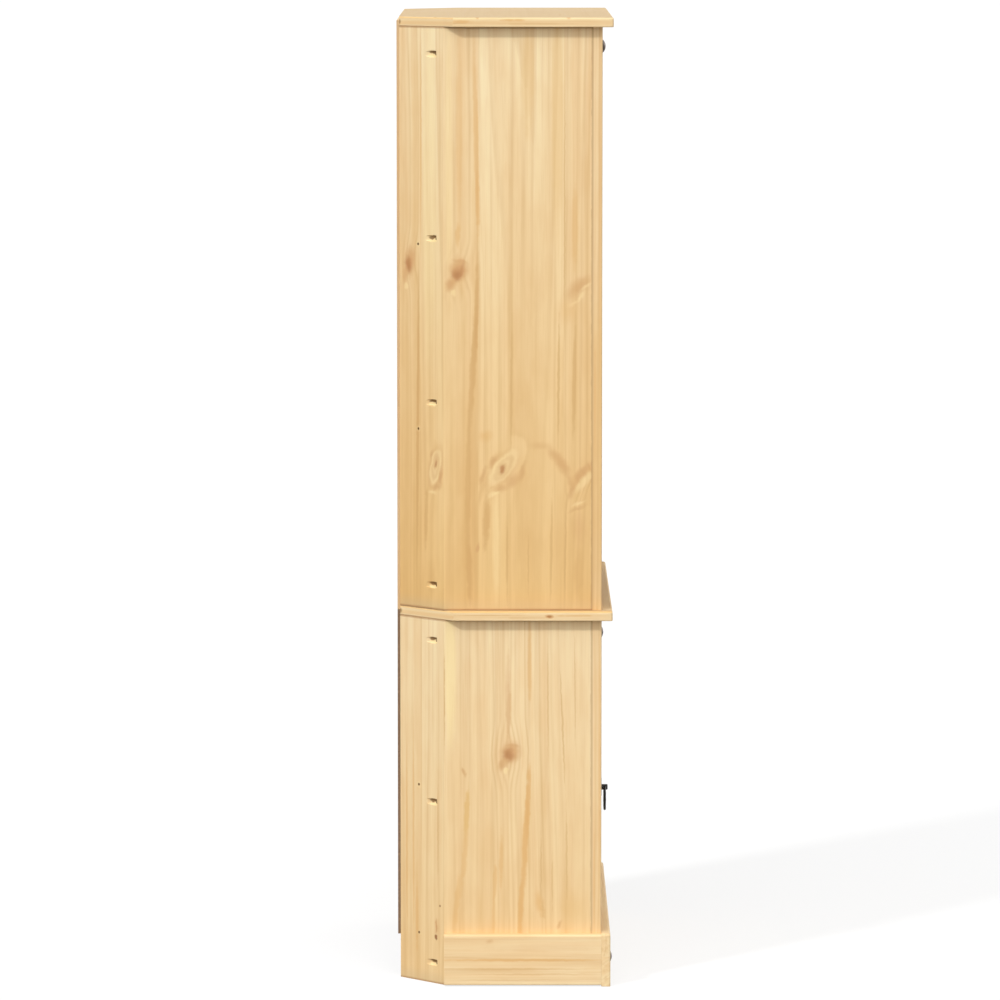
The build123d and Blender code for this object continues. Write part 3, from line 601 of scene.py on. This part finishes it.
lower_side_marks = [
    (-17, 92, 26, 36, 10, HALO, 0.2, 9, 0.1),
    (-13, 94, 23, 26, 15, HALO, 0.85, 0, 0.2),
    (-17, 89, 14, 16, 0, HEART, 0.75, 0, 0.1),
    (-10, 108, 16, 5, 5, FIGURE, 0.55, 0, 0.1),
    (-29, 73, 10, 17, 25, HALO, 0.75, 0, 0.1),
    (-22, 60, 6, 8, 0, GLEAM, 0.5),
    (-101, 60, 4, 9, -25, HALO, 0.7, 0, 0.1),
    (-97, 53, 4, 6, 0, HALO, 0.5, 0, 0.1),
    (-126, 250, 14, 170, 0, GLEAM, 0.65, 0, 0.4),
    (-137, 190, 1.8, 120, 0, LATE, 0.7),
    (-18, 195, 6.5, 100, 0, HALO, 0.3),
    (-17, 175, 5, 60, 0.5, HALO, 0.35),
    (22, 262, 4.5, 100, 0, RESIN, 0.5),
    (19, 5, 6, 80, 2, RESIN, 0.8),
    (14, -75, 7, 105, 2.2, RESIN, 0.8),
    (6, -195, 6, 80, 3, RESIN, 0.75),
    (56, 190, 1.8, 130, -0.3, LATE, 0.45),
    (83, 145, 2, 140, -2.5, LATE, 0.5),
    (106, 210, 1.8, 120, -0.5, LATE, 0.4),
    (-31, -110, 5, 60, 1, RESIN, 0.5),
    (-43, -150, 5, 50, 2, RESIN, 0.5),
    (-45, -215, 4, 50, 1, RESIN, 0.4),
    (-95, -20, 6, 60, 3, AMBER, 0.7),
    (-100, -110, 6, 80, 6, RESIN, 0.4),
    (-115, -200, 6, 70, 5, RESIN, 0.4),
    (43, -130, 1.8, 90, 0, LATE, 0.45),
    (91, -100, 2, 110, -0.5, LATE, 0.45),
    (64, -150, 1.8, 60, 0, LATE, 0.4),
    (105, -200, 36, 50, 0, AMBER, 0.3, 0, 0.0),
    (78, -228, 5, 11, 25, HALO, 0.6, 0, 0.1),
    (40, -188, 12, 34, -12, RESIN, 0.6, 0, 0.0),
    (48, -200, 4, 26, -6, LATE, 0.35, 0, 0.1),
]
lower_side_strips = [
    Strip(0.12, -0.12, 0.12, 0.01, 0.25),
    Strip(0.155, 0.14, 0.10, -0.01, 0.35),
]
upper_corner_marks = [
    (-14, 300, 15, 340, 0, AMBER, 0.15),
    (-1, 330, 2.6, 260, 0.2, RESIN, 0.6),
    (22, 250, 22, 400, 0, GLEAM, 0.3),
    (-10, -200, 4.5, 360, 0.6, LATE, 0.75),
    (12, -370, 6, 70, 3, LATE, 0.55),
    (26, -480, 14, 45, 0, LATE, 0.4, 0, 0.0),
    (-31, 106, 20, 36, 12, HALO, 0.3, 8, 0.1),
    (-31, 104, 19, 34, 10, HALO, 0.9, 0, 0.1),
    (-34, 98, 11, 21, -10, HEART, 0.8, 0, 0.1),
    (-44, 78, 9, 22, 8, HALO, 0.6, 0, 0.1),
    (-40, 58, 7, 9, 0, GLEAM, 0.45),
    (27, -250, 6, 14, 15, FIGURE, 0.6, 0, 0.1),
    (37, -276, 22, 50, 14, FIGURE, 0.5, 0, 0.5),
    (37, -274, 15, 38, 14, GLEAM, 0.6, 9, 0.7),
    (37, -272, 11, 30, 14, FIGURE, 0.6, 0, 0.5),
    (37, -272, 8, 22, 14, GLEAM, 0.4, 0, 0.5),
    (38, -267, 6, 15, 16, HALO, 0.8, 0, 0.2),
    (38, -267, 4, 8, 16, HEART, 0.5, 0, 0.2),
    (50, -292, 8, 24, 5, HALO, 0.8, 0, 0.1),
    (40, -311, 16, 8, 0, HALO, 0.6, 0, 0.1),
    (28, -322, 14, 5, 0, GLEAM, 0.45, 0, 0.1),
]
upper_corner_strips = [Strip(0.058, -0.1, 0.09, 0.01, 0.3), Strip(0.058, 0.09, 0.12, 0.0, 0.05)]
lower_corner_marks = [
    (-41, -80, 3, 220, 0, RESIN, 0.6),
    (-23, -60, 3, 240, 0, RESIN, 0.6),
    (-14, -220, 5, 90, 0, RESIN, 0.55),
    (42, -60, 2.2, 120, 0, LATE, 0.5),
    (47.4, -195.4, 2.6, 2.8, 0, GLUE_AND_SHADE, 0.95, 0, 0.4),
    (38, -238, 9, 26, 0, HALO, 0.25, 4),
    (38, -236, 3, 17, 0, HALO, 0.95),
    (37.5, -257, 4.4, 5, 0, GLUE_AND_SHADE, 0.95, 0, 0.4),
]
lower_corner_strips = [Strip(0.058, -0.09, 0.1, 0.0, 0.55), Strip(0.058, 0.12, 0.1, 0.01, 0.35)]
plinth_marks = [
    (35, -62, 6, 10, 12, HALO, 0.45, 0, 0.0),
    (0, 0, 3, 190, 0, RESIN, 0.7),
    (-17, -10, 2.6, 180, 0, LATE, 0.5, 0, 0.1),
    (-27, 20, 2.2, 170, 0, LATE, 0.45, 0, 0.1),
    (-38, -30, 2, 150, 0, LATE, 0.35, 0, 0.1),
    (22, 30, 9, 120, 0, HALO, 0.15),
]
stile_marks = [
    (-33, -200, 9, 300, 0, AMBER, 0.35),
    (-33, 100, 6, 380, 0, RESIN, 0.35, 0, 0.4, -5, 3),
    (-33, -150, 6, 120, 0, RESIN, 0.4, 0, 0.4, 4, 2.5),
]
hand_made = {
    "upper_side_left": (upper_side_strips, upper_side_streaks + upper_side_knots, 0.82),
    "lower_side_left": (lower_side_strips, lower_side_marks, 0.45),
    "upper_corner_left": (upper_corner_strips, upper_corner_marks, 0.85),
    "lower_corner_left": (lower_corner_strips, lower_corner_marks, 0.45),
    "side_plinth_left": ([Strip(0.1, 0.1, 0.12, 0.0, 0.75)], plinth_marks, 0.1),
    "upper_stile_left": ([Strip(0.066, 0.02, 0.12, 0.01, 0.8)], stile_marks, 0.4),
    "lower_stile_left": ([Strip(0.066, -0.03, 0.1, 0.0, 0.8)], stile_marks[1:], 0.3),
}
print(len(hand_made), "boards are set out by hand")


# %% Ease and colour every board
def joint_lines(width, length, hand=0):
    """Painted shade at a panel's foot, painted contact shadow along its foot and head, and a dark glue line along a
    side panel's front edge.
    """
    wide, long = width / MM, length / MM
    lines = [
        (0, -long / 2, 2 * wide, 26, 0, PAINTED_SHADE, 0.45, 0, 0.0),
        (0, -long / 2, 2 * wide, 4, 0, GLUE_AND_SHADE, 0.6, 0, 0.3),
        (0, long / 2, 2 * wide, 4, 0, GLUE_AND_SHADE, 0.6, 0, 0.3),
    ]
    if hand:
        lines.append((hand * wide / 2, 0, 3, 2 * long, 0, GLUE_AND_SHADE, 0.4))
    return lines


def stile_joint(node):
    """A dark glue line along the rear edge of a stile, where it meets the side panel."""
    low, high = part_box(node)
    thick, long = (high.y - low.y) / MM, (high.z - low.z) / MM
    return [(0, 0, long, 2 * long, 0, GLUE_AND_SHADE, 0.35, 0, 0.2, thick / 2, 2.4)]


brad_across = -8.5
brad_heights = {"upper": (138, -205), "lower": (28, -252)}
pocket_middle, pocket_depth = 5.2, 4.7
pocket_heights = {"upper": (-494, -154.5, 149.5, 489), "lower": (-304.5, -1, 302.5)}


def corner_holes(tier, hand):
    """Painted shade in each brad's hole with a pale ring round it, and in each slanted pocket painted shade on the
    upper half and a painted highlight on the lit lower wall.
    """
    marks, inside = [], (-pocket_middle * hand, pocket_depth)
    for height in brad_heights[tier]:
        marks.append((brad_across, height, 7, 6, 0, GLEAM, 0.2))
        marks.append((brad_across, height, 2.9, 2.9, 0, PAINTED_DARK_SHADE, 1.0, 0, 0.6))
    for height in pocket_heights[tier]:
        # inside the pocket: painted shade on the upper half of the bore, and a painted highlight on its lower wall
        marks.append((31, height + 3.6, 17, 4.6, 0, PAINTED_DARK_SHADE, 0.85, 0, 0.7, *inside))
        marks.append((29, height - 4, 17, 4, 0, GLEAM, 0.8, 0, 0.7, *inside))
    return marks


def board_pine(node):
    """The pine of one board."""
    middle, across, along, width, length = corner_axes(node) if "corner" in node else axes_of(node)
    left = node.endswith("left")
    if "side" in node and left:
        across, along = (-axis if axis == Y else axis for axis in (across, along))
    strips, marks, fade = hand_made.get(node) or (drawn_strips(width), drawn_marks(width, length), 0.15)
    tier, kind = node.split("_")[:2]
    if kind == "side":
        marks = marks + joint_lines(width, length, 1 if left else -1)
    if kind == "corner":
        marks = marks + joint_lines(width, length) + corner_holes(tier, -1 if left else 1)
    if kind == "stile" and tier != "door":
        marks = marks + stile_joint(node)
    return pine(node + "_pine", middle, across, along, width, length, strips, marks, fade)


long_boards = {
    "side": 1.3, "corner": 0.6, "stile": 1.3, "plinth": 1.0, "shelf": 1.0, "bottom_board": 1.0,
    "rail": 0.9, "muntin": 0.9, "door_panel": 0.8,
}
eased = {}
for node in sorted(nodes):
    if any(word in node for word in ("studs", "screws", "brads", "leaves")):
        continue
    for word, ease in long_boards.items():
        if word in node:
            eased[node] = ease * MM
            break
for node, ease in eased.items():
    finish_piece(eased_board(node, ease), node, board_pine(node))
print(len(eased), "pine boards eased and coloured")

# %% [markdown]
# ## The top board and the waist board
#
# A wide board that is glued up side by side moves with the weather, and its end grain is ugly. A cleat across each
# end keeps it flat and hides the end grain, so along the cabinet's sides the edge shows long grain. The two
# overhanging boards are cut across near their ends, and each end gets its own material. So does each canted rear
# edge, where a short strip is let in along the cut.

# %% Cleats on the overhanging boards
cleat_width = 55 * MM
edge_marks = {
    "top_board": [
        # painted highlight: a pale band along the upper edge, just under the top arris
        (-27, 0, 4, 800, 0, GLEAM, 0.25, 0, 0.5, 6, 3),
        (-27, 0, 4, 800, 0, RESIN, 0.25, 0, 0.3, -1, 5),
        (-27, -82, 4, 24, 0, RESIN, 0.6, 0, 0.3, 1, 4),
        (-27, 15, 4, 30, 0, RESIN, 0.6, 0, 0.3, 4, 3),
        (-27, -54, 9, 5, 0, HALO, 0.8, 0, 0.2, 9, 4),
        (-27, 114, 9, 6, 0, HALO, 0.8, 0, 0.2, 9, 4),
        (-27, 60, 4, 90, 0, LATE, 0.5, 0, 0.3, -3, 1.5),
        (-27, -120, 4, 80, 0, LATE, 0.45, 0, 0.3, -2, 1.5),
    ],
    "waist_board": [
        # painted shade: the ledge on the waist's top face is darkened, and a dark line where the side panel stands
        # on it is painted contact shadow
        (-27, 0, 16, 800, 0, AMBER, 0.8, 0, 0.6, 9, 3),
        (-27, 0, 4, 800, 0, RESIN, 0.15, 0, 0.3, -1, 5),
        (-10, 0, 6, 800, 0, GLUE_AND_SHADE, 0.5, 0, 0.3, 9, 4),
        (-27, 80, 5, 9, 0, HALO, 0.95, 0, 0.4, -0.5, 4.5),
        (-27, 79, 5, 5, 0, HEART, 0.8, 0, 0.4, -0.5, 2.6),
        (-27, -40, 4, 90, 0, LATE, 0.45, 0, 0.3, 2, 1.5),
        (-27, 40, 4, 60, 0, LATE, 0.4, 0, 0.3, -3, 1.5),
        (-27, 130, 4, 40, 0, RESIN, 0.5, 0, 0.3, 1, 2),
    ],
}

cant_marks = [
    (0, 0, 80, 400, 0, AMBER, 0.6, 0, 0.6, 9, 4),
    (0, 0, 80, 400, 0, RESIN, 0.4, 0, 0.3, -2, 5),
    # painted shade on the rear end of each canted strip
    (0, -71, 80, 6, 0, PAINTED_DARK_SHADE, 0.7, 0, 0.4, -1, 6),
]
cant_place, cant_length = (50 * MM, 145 * MM), 0.14
dull = 0.12

for node in ("top_board", "waist_board"):
    piece = whole_copy(node, node + "_cleated")
    low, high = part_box(node)
    cuts = low.x + cleat_width, high.x - cleat_width
    with editing(piece):
        for cut in cuts:
            bpy.ops.mesh.select_all(action="SELECT")
            bpy.ops.mesh.bisect(plane_co=(cut, 0, 0), plane_no=X)
    middle, width, length = (low + high) / 2, high.y - low.y, high.x - low.x
    strips = [strip._replace(tone=0.9) for strip in drawn_strips(width)]
    marks = drawn_marks(width, length)
    # the top faces of these boards get painted shade, the top board more than the waist board
    painted_top_shade = 0.75 if node == "top_board" else 0.3
    wood = pine(node + "_pine", middle, Y, X, width, length, strips, marks, 0.1, dull, painted_top_shade)
    finish_piece(piece, node, wood)
    for hand, side in ((-1, low.x), (1, high.x)):
        word = "left" if hand < 0 else "right"
        place = Vector((side - hand * cleat_width / 2, middle.y, middle.z))
        strips = [Strip(cleat_width, -0.09 * hand, 0.12, 0.01, 0.35)]
        marks = edge_marks[node] + [(8, -120, 3, 110, 0.5, RESIN, 0.5)]
        name = f"{node}_{word}_cleat_pine"
        wood = pine(name, place, -hand * X, hand * Y, cleat_width, width, strips, marks, 0.1, dull, painted_top_shade)
        piece.data.materials.append(wood)
        place = Vector((side - hand * cant_place[0], cant_place[1], middle.z))
        run = Vector((hand, -1, 0)).normalized()
        name = f"{node}_{word}_cant_pine"
        wood = pine(name, place, Z.cross(run), run, cleat_width, cant_length, strips, cant_marks, 0.1, dull)
        piece.data.materials.append(wood)
    for face in piece.data.polygons:
        end = 1 if face.center.x < 0 else 3
        canted = face.normal.y > 0.5 and abs(face.normal.x) > 0.5
        face.material_index = end + 1 if canted else 0 if cuts[0] < face.center.x < cuts[1] else end
    soften(piece)
    print(piece.name, "has", len(piece.data.materials), "materials")

# %% [markdown]
# ## The back panels
#
# The upper back is thin pine. The lower back is hardboard, pressed from dark fibres: its surface is a fleck of
# lighter and darker fibres with slow clouds in it.


# %% Hardboard and the two backs
def hardboard():
    board = Recipe("dark_hardboard")
    fleck = board.noise(board.place, 260, 4.0, 0.7)
    cloud = board.noise(board.place, 9)
    colour = board.mix(board.span(fleck, 0.35, 0.7), srgb(104, 80, 58), srgb(140, 112, 84))
    board.colour(board.mix(board.span(cloud, 0.3, 0.7, 0.0, 0.4), colour, srgb(120, 92, 66)))
    board.rough(board.span(fleck, 0.3, 0.7, 0.7, 0.8))
    board.relief(fleck, 0.1 * MM, 0.6)
    return board.material


middle, across, along, width, length = axes_of("upper_back_panel")
# both long edges of the upper back are painted darker as shade
back_edge_shade = [(hand * width / MM / 2, 0, 7, 2 * length / MM, 0, GLUE_AND_SHADE, 0.45) for hand in (-1, 1)]
thin_pine = pine("back_pine", middle, across, along, width, length, drawn_strips(width), back_edge_shade, 0.2)
finish_piece(eased_board("upper_back_panel", 0.4 * MM), "upper_back_panel", thin_pine)
finish_piece(eased_board("lower_back_panel", 0.4 * MM), "lower_back_panel", hardboard())

# %% [markdown]
# ## Iron, steel, plastic and beech
#
# Hammered iron is dark brown with facets where the hammer fell, so its relief comes from cells that meet in soft
# ridges. Zinc plate is bright and faintly brushed.


# %% Recipes of the small hardware
def hammered_iron(name, colour, roughness, facet=420):
    iron = Recipe(name)
    inputs = {"Vector": iron.place, "Scale": facet, "Smoothness": 0.6}
    facets = iron.add("ShaderNodeTexVoronoi", inputs, feature="SMOOTH_F1").outputs["Distance"]
    grain = iron.noise(iron.place, 1100, 3.0)
    cloud = iron.noise(iron.place, 130)
    tone = iron.mix(iron.span(cloud, 0.35, 0.7), colour, scaled(colour, 1.8))
    iron.colour(iron.mix(iron.span(grain, 0.5, 0.75, 0.0, 0.4), tone, scaled(colour, 0.5)))
    iron.rough(iron.span(grain, 0.2, 0.8, roughness - 0.1, roughness + 0.12))
    iron.shader.inputs["Metallic"].default_value = 0.75
    iron.relief(iron.math("MULTIPLY_ADD", grain, 0.1, facets), 0.7 * MM, 0.5)
    return iron.material


def brushed_steel(name, colour, roughness):
    steel = Recipe(name)
    grain = steel.fibres(steel.place, (400, 400, 3000))
    steel.colour(steel.mix(steel.span(grain, 0.3, 0.7, 0.0, 0.5), colour, scaled(colour, 0.7)))
    steel.rough(steel.span(grain, 0.2, 0.8, roughness - 0.06, roughness + 0.08))
    steel.shader.inputs["Metallic"].default_value = 1.0
    steel.relief(grain, 0.02 * MM, 0.5)
    return steel.material


def moulded_plastic():
    plastic = Recipe("brown_plastic")
    fine = plastic.noise(plastic.place, 1500)
    plastic.colour(plastic.mix(fine, srgb(88, 62, 42), srgb(108, 80, 58)))
    plastic.rough(plastic.span(fine, 0.3, 0.7, 0.42, 0.58))
    plastic.relief(fine, 0.03 * MM, 0.5)
    return plastic.material


def beech():
    wood = Recipe("beech_dowel_wood")
    ray = wood.fibres(wood.place, (900, 900, 60))
    wood.colour(wood.mix(ray, srgb(224, 186, 146), srgb(196, 148, 108)))
    wood.rough(wood.span(ray, 0.3, 0.7, 0.55, 0.65))
    wood.relief(ray, 0.05 * MM, 0.5)
    return wood.material


brown_iron = hammered_iron("brown_hammered_iron", srgb(62, 48, 40), 0.42)
black_iron = hammered_iron("black_iron", srgb(34, 33, 33), 0.45, 600)
zinc = brushed_steel("zinc_plated_steel", srgb(200, 200, 196), 0.35)
# steel painted dark brown, so that the pocket screws and shelf brads read as the shade in their holes
dull_steel = brushed_steel("dull_steel", srgb(112, 84, 56), 0.55)
print("small hardware recipes:", brown_iron.name, black_iron.name, zinc.name, dull_steel.name)

# %% [markdown]
# ## Turned pieces
#
# Nail heads, rosettes and screws are round, so they are turned: a ring of edges is added, then extruded and scaled
# from one height to the next, as a lathe tool follows a profile. Hammer marks come afterwards, from a Displace
# modifier with a cell texture. What repeats is made once, and each copy is turned to its place.


# %% Helpers for turned pieces
def turned(name, profile, sides):
    """A piece turned on the Z axis from pairs of radius and height. It is closed at both ends."""
    (first_radius, first_height), *rest = profile
    deselect()
    start = (0, 0, first_height)
    bpy.ops.mesh.primitive_circle_add(vertices=sides, radius=first_radius, fill_type="NGON", location=start)
    piece = bpy.context.object
    piece.name = name
    bpy.ops.object.transform_apply()
    radius, height = first_radius, first_height
    with editing(piece):
        for next_radius, next_height in rest:
            bpy.ops.mesh.extrude_region_move(TRANSFORM_OT_translate={"value": (0, 0, next_height - height)})
            share = next_radius / radius
            bpy.ops.transform.resize(value=(share, share, 1), center_override=(0, 0, next_height))
            radius, height = next_radius, next_height
        bpy.ops.mesh.select_all(action="SELECT")
        bpy.ops.mesh.normals_make_consistent(inside=False)
    return piece


def hammer(piece, size, depth):
    """Dents a piece with soft cells of a size."""
    cells = bpy.data.textures.new(piece.name + "_cells", "VORONOI")
    cells.noise_scale = size
    cells.distance_metric = "DISTANCE"
    apply_modifier(piece, "DISPLACE", texture=cells, strength=depth, mid_level=0.4, texture_coords="LOCAL")


def placed_copies(master, name, places, directions):
    """Copies a Z-up piece to each place with Z turned into each direction, as one mesh, and drops the master."""
    copies = []
    for place, direction in zip(places, directions):
        copy = bpy.data.objects.new(name, master.data.copy())
        bpy.context.collection.objects.link(copy)
        turn = Vector(direction).to_track_quat("Z", "X").to_matrix().to_4x4()
        copy.matrix_world = Matrix.Translation(place) @ turn
        copies.append(copy)
    deselect()
    for copy in copies:
        copy.select_set(True)
    bpy.context.view_layer.objects.active = copies[0]
    bpy.ops.object.transform_apply()
    if len(copies) > 1:
        bpy.ops.object.join()
    copies[0].name = name
    bpy.data.objects.remove(master)
    return copies[0]


# %% [markdown]
# ## Domed studs
#
# Big forged nail heads sit on the front: a pair on the header, a smaller pair on the lower rail and a pair on the
# plinth. Each is a shallow dome with hammered facets and a thin rim.

# %% Studs
def dome_profile(radius, rise, shank):
    """A shank in the wood, the flat back of the head, a thin rim and then the dome."""
    ball = (radius**2 + rise**2) / (2 * rise)
    steps = 9
    reach = [radius * cos(step / steps * pi / 2) for step in range(steps)]
    dome = [(r, sqrt(ball**2 - r**2) - (ball - rise)) for r in reach]
    return [(0.5 * MM, -shank), (1.4 * MM, -shank + 2 * MM), (1.4 * MM, -0.1 * MM), (radius * 0.985, 0.0),
            *dome, (radius * 0.04, rise)]


stud_rises = {"header_studs": 6.2 * MM, "rail_studs": 3.5 * MM, "plinth_studs": 3.5 * MM}
hammer_room = 0.3 * MM
for node, rise in stud_rises.items():
    low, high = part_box(node)
    radius, middle = (high.z - low.z) / 2, (low.z + high.z) / 2
    master = turned(node + "_master", dome_profile(radius, rise - hammer_room, 12 * MM), 40)
    apply_modifier(master, "SUBSURF", levels=1, render_levels=1)
    hammer(master, 4.5 * MM, 0.7 * MM)
    places = [Vector((x, low.y + rise, middle)) for x in (low.x + radius, high.x - radius)]
    piece = placed_copies(master, node + "_forged", places, [-Y] * len(places))
    soften(piece, 50)
    finish_piece(piece, node, brown_iron)
    print(piece.name, "radius", round(radius / MM, 1), "mm")

# %% [markdown]
# ## The ring pull
#
# A round plate, a post through the door and a forged ring. The plate is turned with a raised bead at its rim, the
# ring is a torus, and both are hammered.

# %% Rosette, post and ring
low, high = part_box("pull_rosette")
plate_radius, plate_thick = (high.x - low.x) / 2, high.y - low.y
plate_middle = Vector(((low.x + high.x) / 2, high.y, (low.z + high.z) / 2))
plate_profile = [
    (plate_radius * 0.99, 0.0), (plate_radius, 0.5 * MM), (plate_radius * 0.97, 1.5 * MM),
    (plate_radius * 0.9, 1.8 * MM), (plate_radius * 0.82, 1.3 * MM), (plate_radius * 0.6, 1.5 * MM),
    (plate_radius * 0.36, plate_thick), (plate_radius * 0.1, plate_thick),
]
master = turned("rosette_master", plate_profile, 48)
apply_modifier(master, "SUBSURF", levels=1, render_levels=1)
hammer(master, 5 * MM, 0.5 * MM)
piece = placed_copies(master, "pull_rosette_forged", [plate_middle], [-Y])
soften(piece, 50)
finish_piece(piece, "pull_rosette", black_iron)

low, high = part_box("pull_ring")
ring_middle = (low + high) / 2
rod_radius = (high.y - low.y) / 2
deselect()
bpy.ops.mesh.primitive_torus_add(
    location=ring_middle, rotation=(radians(90), 0, 0),
    major_radius=(high.z - low.z) / 2 - rod_radius, minor_radius=rod_radius,
    major_segments=72, minor_segments=16,
)
ring = bpy.context.object
ring.name = "pull_ring_forged"
bpy.ops.object.transform_apply()
hammer(ring, 5 * MM, 0.45 * MM)
soften(ring, 60)
finish_piece(ring, "pull_ring", black_iron)


def eased_hardware(node, ease, finish):
    """A small piece that keeps its shape, with its sharp corners softened."""
    piece = whole_copy(node, node + "_eased")
    apply_modifier(piece, "BEVEL", width=ease, segments=2, limit_method="ANGLE", angle_limit=radians(50))
    soften(piece, 40)
    finish_piece(piece, node, finish)


small_eases = {
    "pull_post": 0.3, "pull_nut": 0.3, "hinge_frame_leaves": 0.15, "hinge_door_leaves": 0.15, "hinge_pins": 0.2,
}
for node, ease in small_eases.items():
    eased_hardware(node, ease * MM, black_iron)

# %% [markdown]
# ## Screws and nails
#
# A screw's head is turned, and its cross recess is cut with two thin crossed blocks by a Boolean modifier. Each
# kind is made once and copied to its seats, which are read from the solids.

# %% The cross-headed screws
def cross_screw(name, radius, head, countersunk, shank_radius, length):
    """A screw along Z, its head's top at height zero and its shank below."""
    profile = [(0.4 * MM, -length), (shank_radius, -length + 3 * MM), (shank_radius, -head)]
    if countersunk:
        profile += [(radius, -0.25 * MM), (radius * 0.98, 0.0), (radius * 0.2, 0.0)]
    else:
        profile += [(radius, -head + 0.05 * MM), (radius, -0.5 * head), (radius * 0.85, -0.12 * head),
                    (radius * 0.5, 0.0), (radius * 0.1, 0.0)]
    screw = turned(name, profile, 24)
    for turn in (0, 90):
        deselect()
        bpy.ops.mesh.primitive_cube_add(size=1, location=(0, 0, 0), rotation=(0, 0, radians(turn)))
        cutter = bpy.context.object
        cutter.scale = (radius * 1.15, radius * 0.24, head * 1.1)
        bpy.context.view_layer.update()
        apply_modifier(screw, "BOOLEAN", object=cutter, operation="DIFFERENCE", solver="EXACT")
        bpy.data.objects.remove(cutter)
    return screw


def loose_parts(node):
    """The corners of each separate solid in a node."""
    with editing(whole_copy(node, node + "_parts")):
        bpy.ops.mesh.separate(type="LOOSE")
    found = []
    for part in list(bpy.context.selected_objects):
        found.append([vertex.co.copy() for vertex in part.data.vertices])
        bpy.data.objects.remove(part)
    return found


def screw_seats(node, direction_of):
    """Head middles and head directions of a node's screws."""
    places, directions = [], []
    for points in loose_parts(node):
        way = direction_of(points)
        far = max(point.dot(way) for point in points)
        head = [point for point in points if point.dot(way) > far - 0.02 * MM]
        places.append(sum(head, Vector()) / len(head))
        directions.append(way)
    return places, directions


pocket_slant = 18


def pocket_way(points):
    """A pocket screw's head looks out of its corner, slanted off the panel's face."""
    hand = -1 if points[0].x < 0 else 1
    turn = radians(45 - pocket_slant)
    return Vector((-hand * sin(turn), cos(turn), 0))


screw_kinds = {
    "pocket_screws": (3.0, 2.2, False, 1.75, 26, pocket_way),
    "hinge_frame_screws": (2.9, 1.5, True, 1.5, 16, lambda points: -X),
    "hinge_door_screws": (2.9, 1.5, True, 1.5, 16, lambda points: X),
    "catch_screws": (2.8, 1.5, False, 1.5, 25, lambda points: Z),
    "strike_screw": (2.8, 1.5, True, 1.5, 10, lambda points: Y),
}
for node, (radius, head, sunk, shank_radius, length, direction_of) in screw_kinds.items():
    master = cross_screw(node + "_master", radius * MM, head * MM, sunk, shank_radius * MM, length * MM)
    places, directions = screw_seats(node, direction_of)
    piece = placed_copies(master, node + "_crossed", places, directions)
    soften(piece, 40)
    finish, slot = (black_iron, "black_iron") if node.startswith("hinge") else (zinc, "zinc_steel")
    finish_piece(piece, node, dull_steel if node == "pocket_screws" else finish)
    print(piece.name, len(places), "screws")

# %% Nails, and the small parts that keep their shape
nail_radius, nail_head = 2.5 * MM, 0.8 * MM
nail_profile = [
    (0.3 * MM, -18 * MM), (0.9 * MM, -16 * MM), (0.9 * MM, -nail_head), (nail_radius * 0.97, -nail_head),
    (nail_radius, -0.4 * nail_head), (nail_radius * 0.85, 0.0), (nail_radius * 0.2, 0.0),
]
master = turned("nail_master", nail_profile, 20)
places, directions = screw_seats("back_nails", lambda points: Y)
piece = placed_copies(master, "back_nails_round", places, directions)
soften(piece, 40)
finish_piece(piece, "back_nails", zinc)
print(piece.name, len(places), "nails")

plastic, dowel_wood = moulded_plastic(), beech()
kept = {
    "shelf_brads": (dull_steel, "zinc_steel"), "catch_strike": (zinc, "zinc_steel"),
    "catch_magnet": (plastic, "brown_plastic"), "carcass_dowels": (dowel_wood, "beech"),
}
for node, (finish, slot) in kept.items():
    eased_hardware(node, 0.2 * MM, finish)

# %% [markdown]
# ## The stage and the light
#
# A white floor runs out to the horizon. It glows a little for the camera, so that it reads as white paper, and it
# still takes the cabinet's shadow. There are four suns. A small sharp one from behind on the left draws the shadow
# under each overhang, two wide ones from the left, high and low, soften it, and one fills the front.

# %% World and floor
low_sky, high_sky = 0.7, 0.0
floor_colour = 0.25
floor_glow = 0.77


def soft_world():
    """White where the camera or a mirror looks at it, and elsewhere a soft light, stronger low down."""
    world = bpy.data.worlds.new("soft_studio")
    bpy.context.scene.world = world
    world.use_nodes = True
    sky = Nodes(world.node_tree)
    up = sky.split(sky.add("ShaderNodeTexCoord").outputs["Object"])["Z"]
    light = sky.span(up, 0.0, 1.0, low_sky, high_sky, "LINEAR")
    background = sky.tree.nodes["Background"].inputs
    background["Color"].default_value = grey(1.0)
    sky.feed(background["Strength"], sky.span(sky.seen(), 0.0, 1.0, light, 1.0, "LINEAR"))


soft_world()
deselect()
bpy.ops.mesh.primitive_plane_add(size=400, location=(0, 0, -0.3 * MM))
floor = bpy.context.object
floor.name = "floor"
paper = Recipe("white_paper")
paper.colour(grey(floor_colour))
paper.rough(1.0)
paper.shader.inputs["Specular IOR Level"].default_value = 0.0
paper.shader.inputs["Emission Color"].default_value = grey(1.0)
paper.feed(paper.shader.inputs["Emission Strength"], paper.math("MULTIPLY", paper.seen(), floor_glow))
floor.data.materials.append(paper.material)
print("floor", floor.dimensions.x, "m across")


# %% Lamps
def sun(name, toward, angle, strength):
    """A sun that shines from a direction. A wide angle gives soft shadows."""
    bpy.ops.object.light_add(type="SUN", location=Vector(toward).normalized() * 8)
    lamp = bpy.context.object
    lamp.name = name
    lamp.rotation_euler = Vector(toward).to_track_quat("Z", "Y").to_euler()
    lamp.data.angle = radians(angle)
    lamp.data.energy = strength


sun("sharp_key", (-1.0, 0.9, 1.15), 5, 1.6)
sun("high_key", (-0.42, 0.0, 0.91), 50, 1.1)
sun("low_key", (-0.9, 0.0, 0.42), 60, 1.0)
sun("front_fill", (0.6, -0.75, 0.12), 40, 1.5)
print("four suns, and a sky from", low_sky, "down to", high_sky)
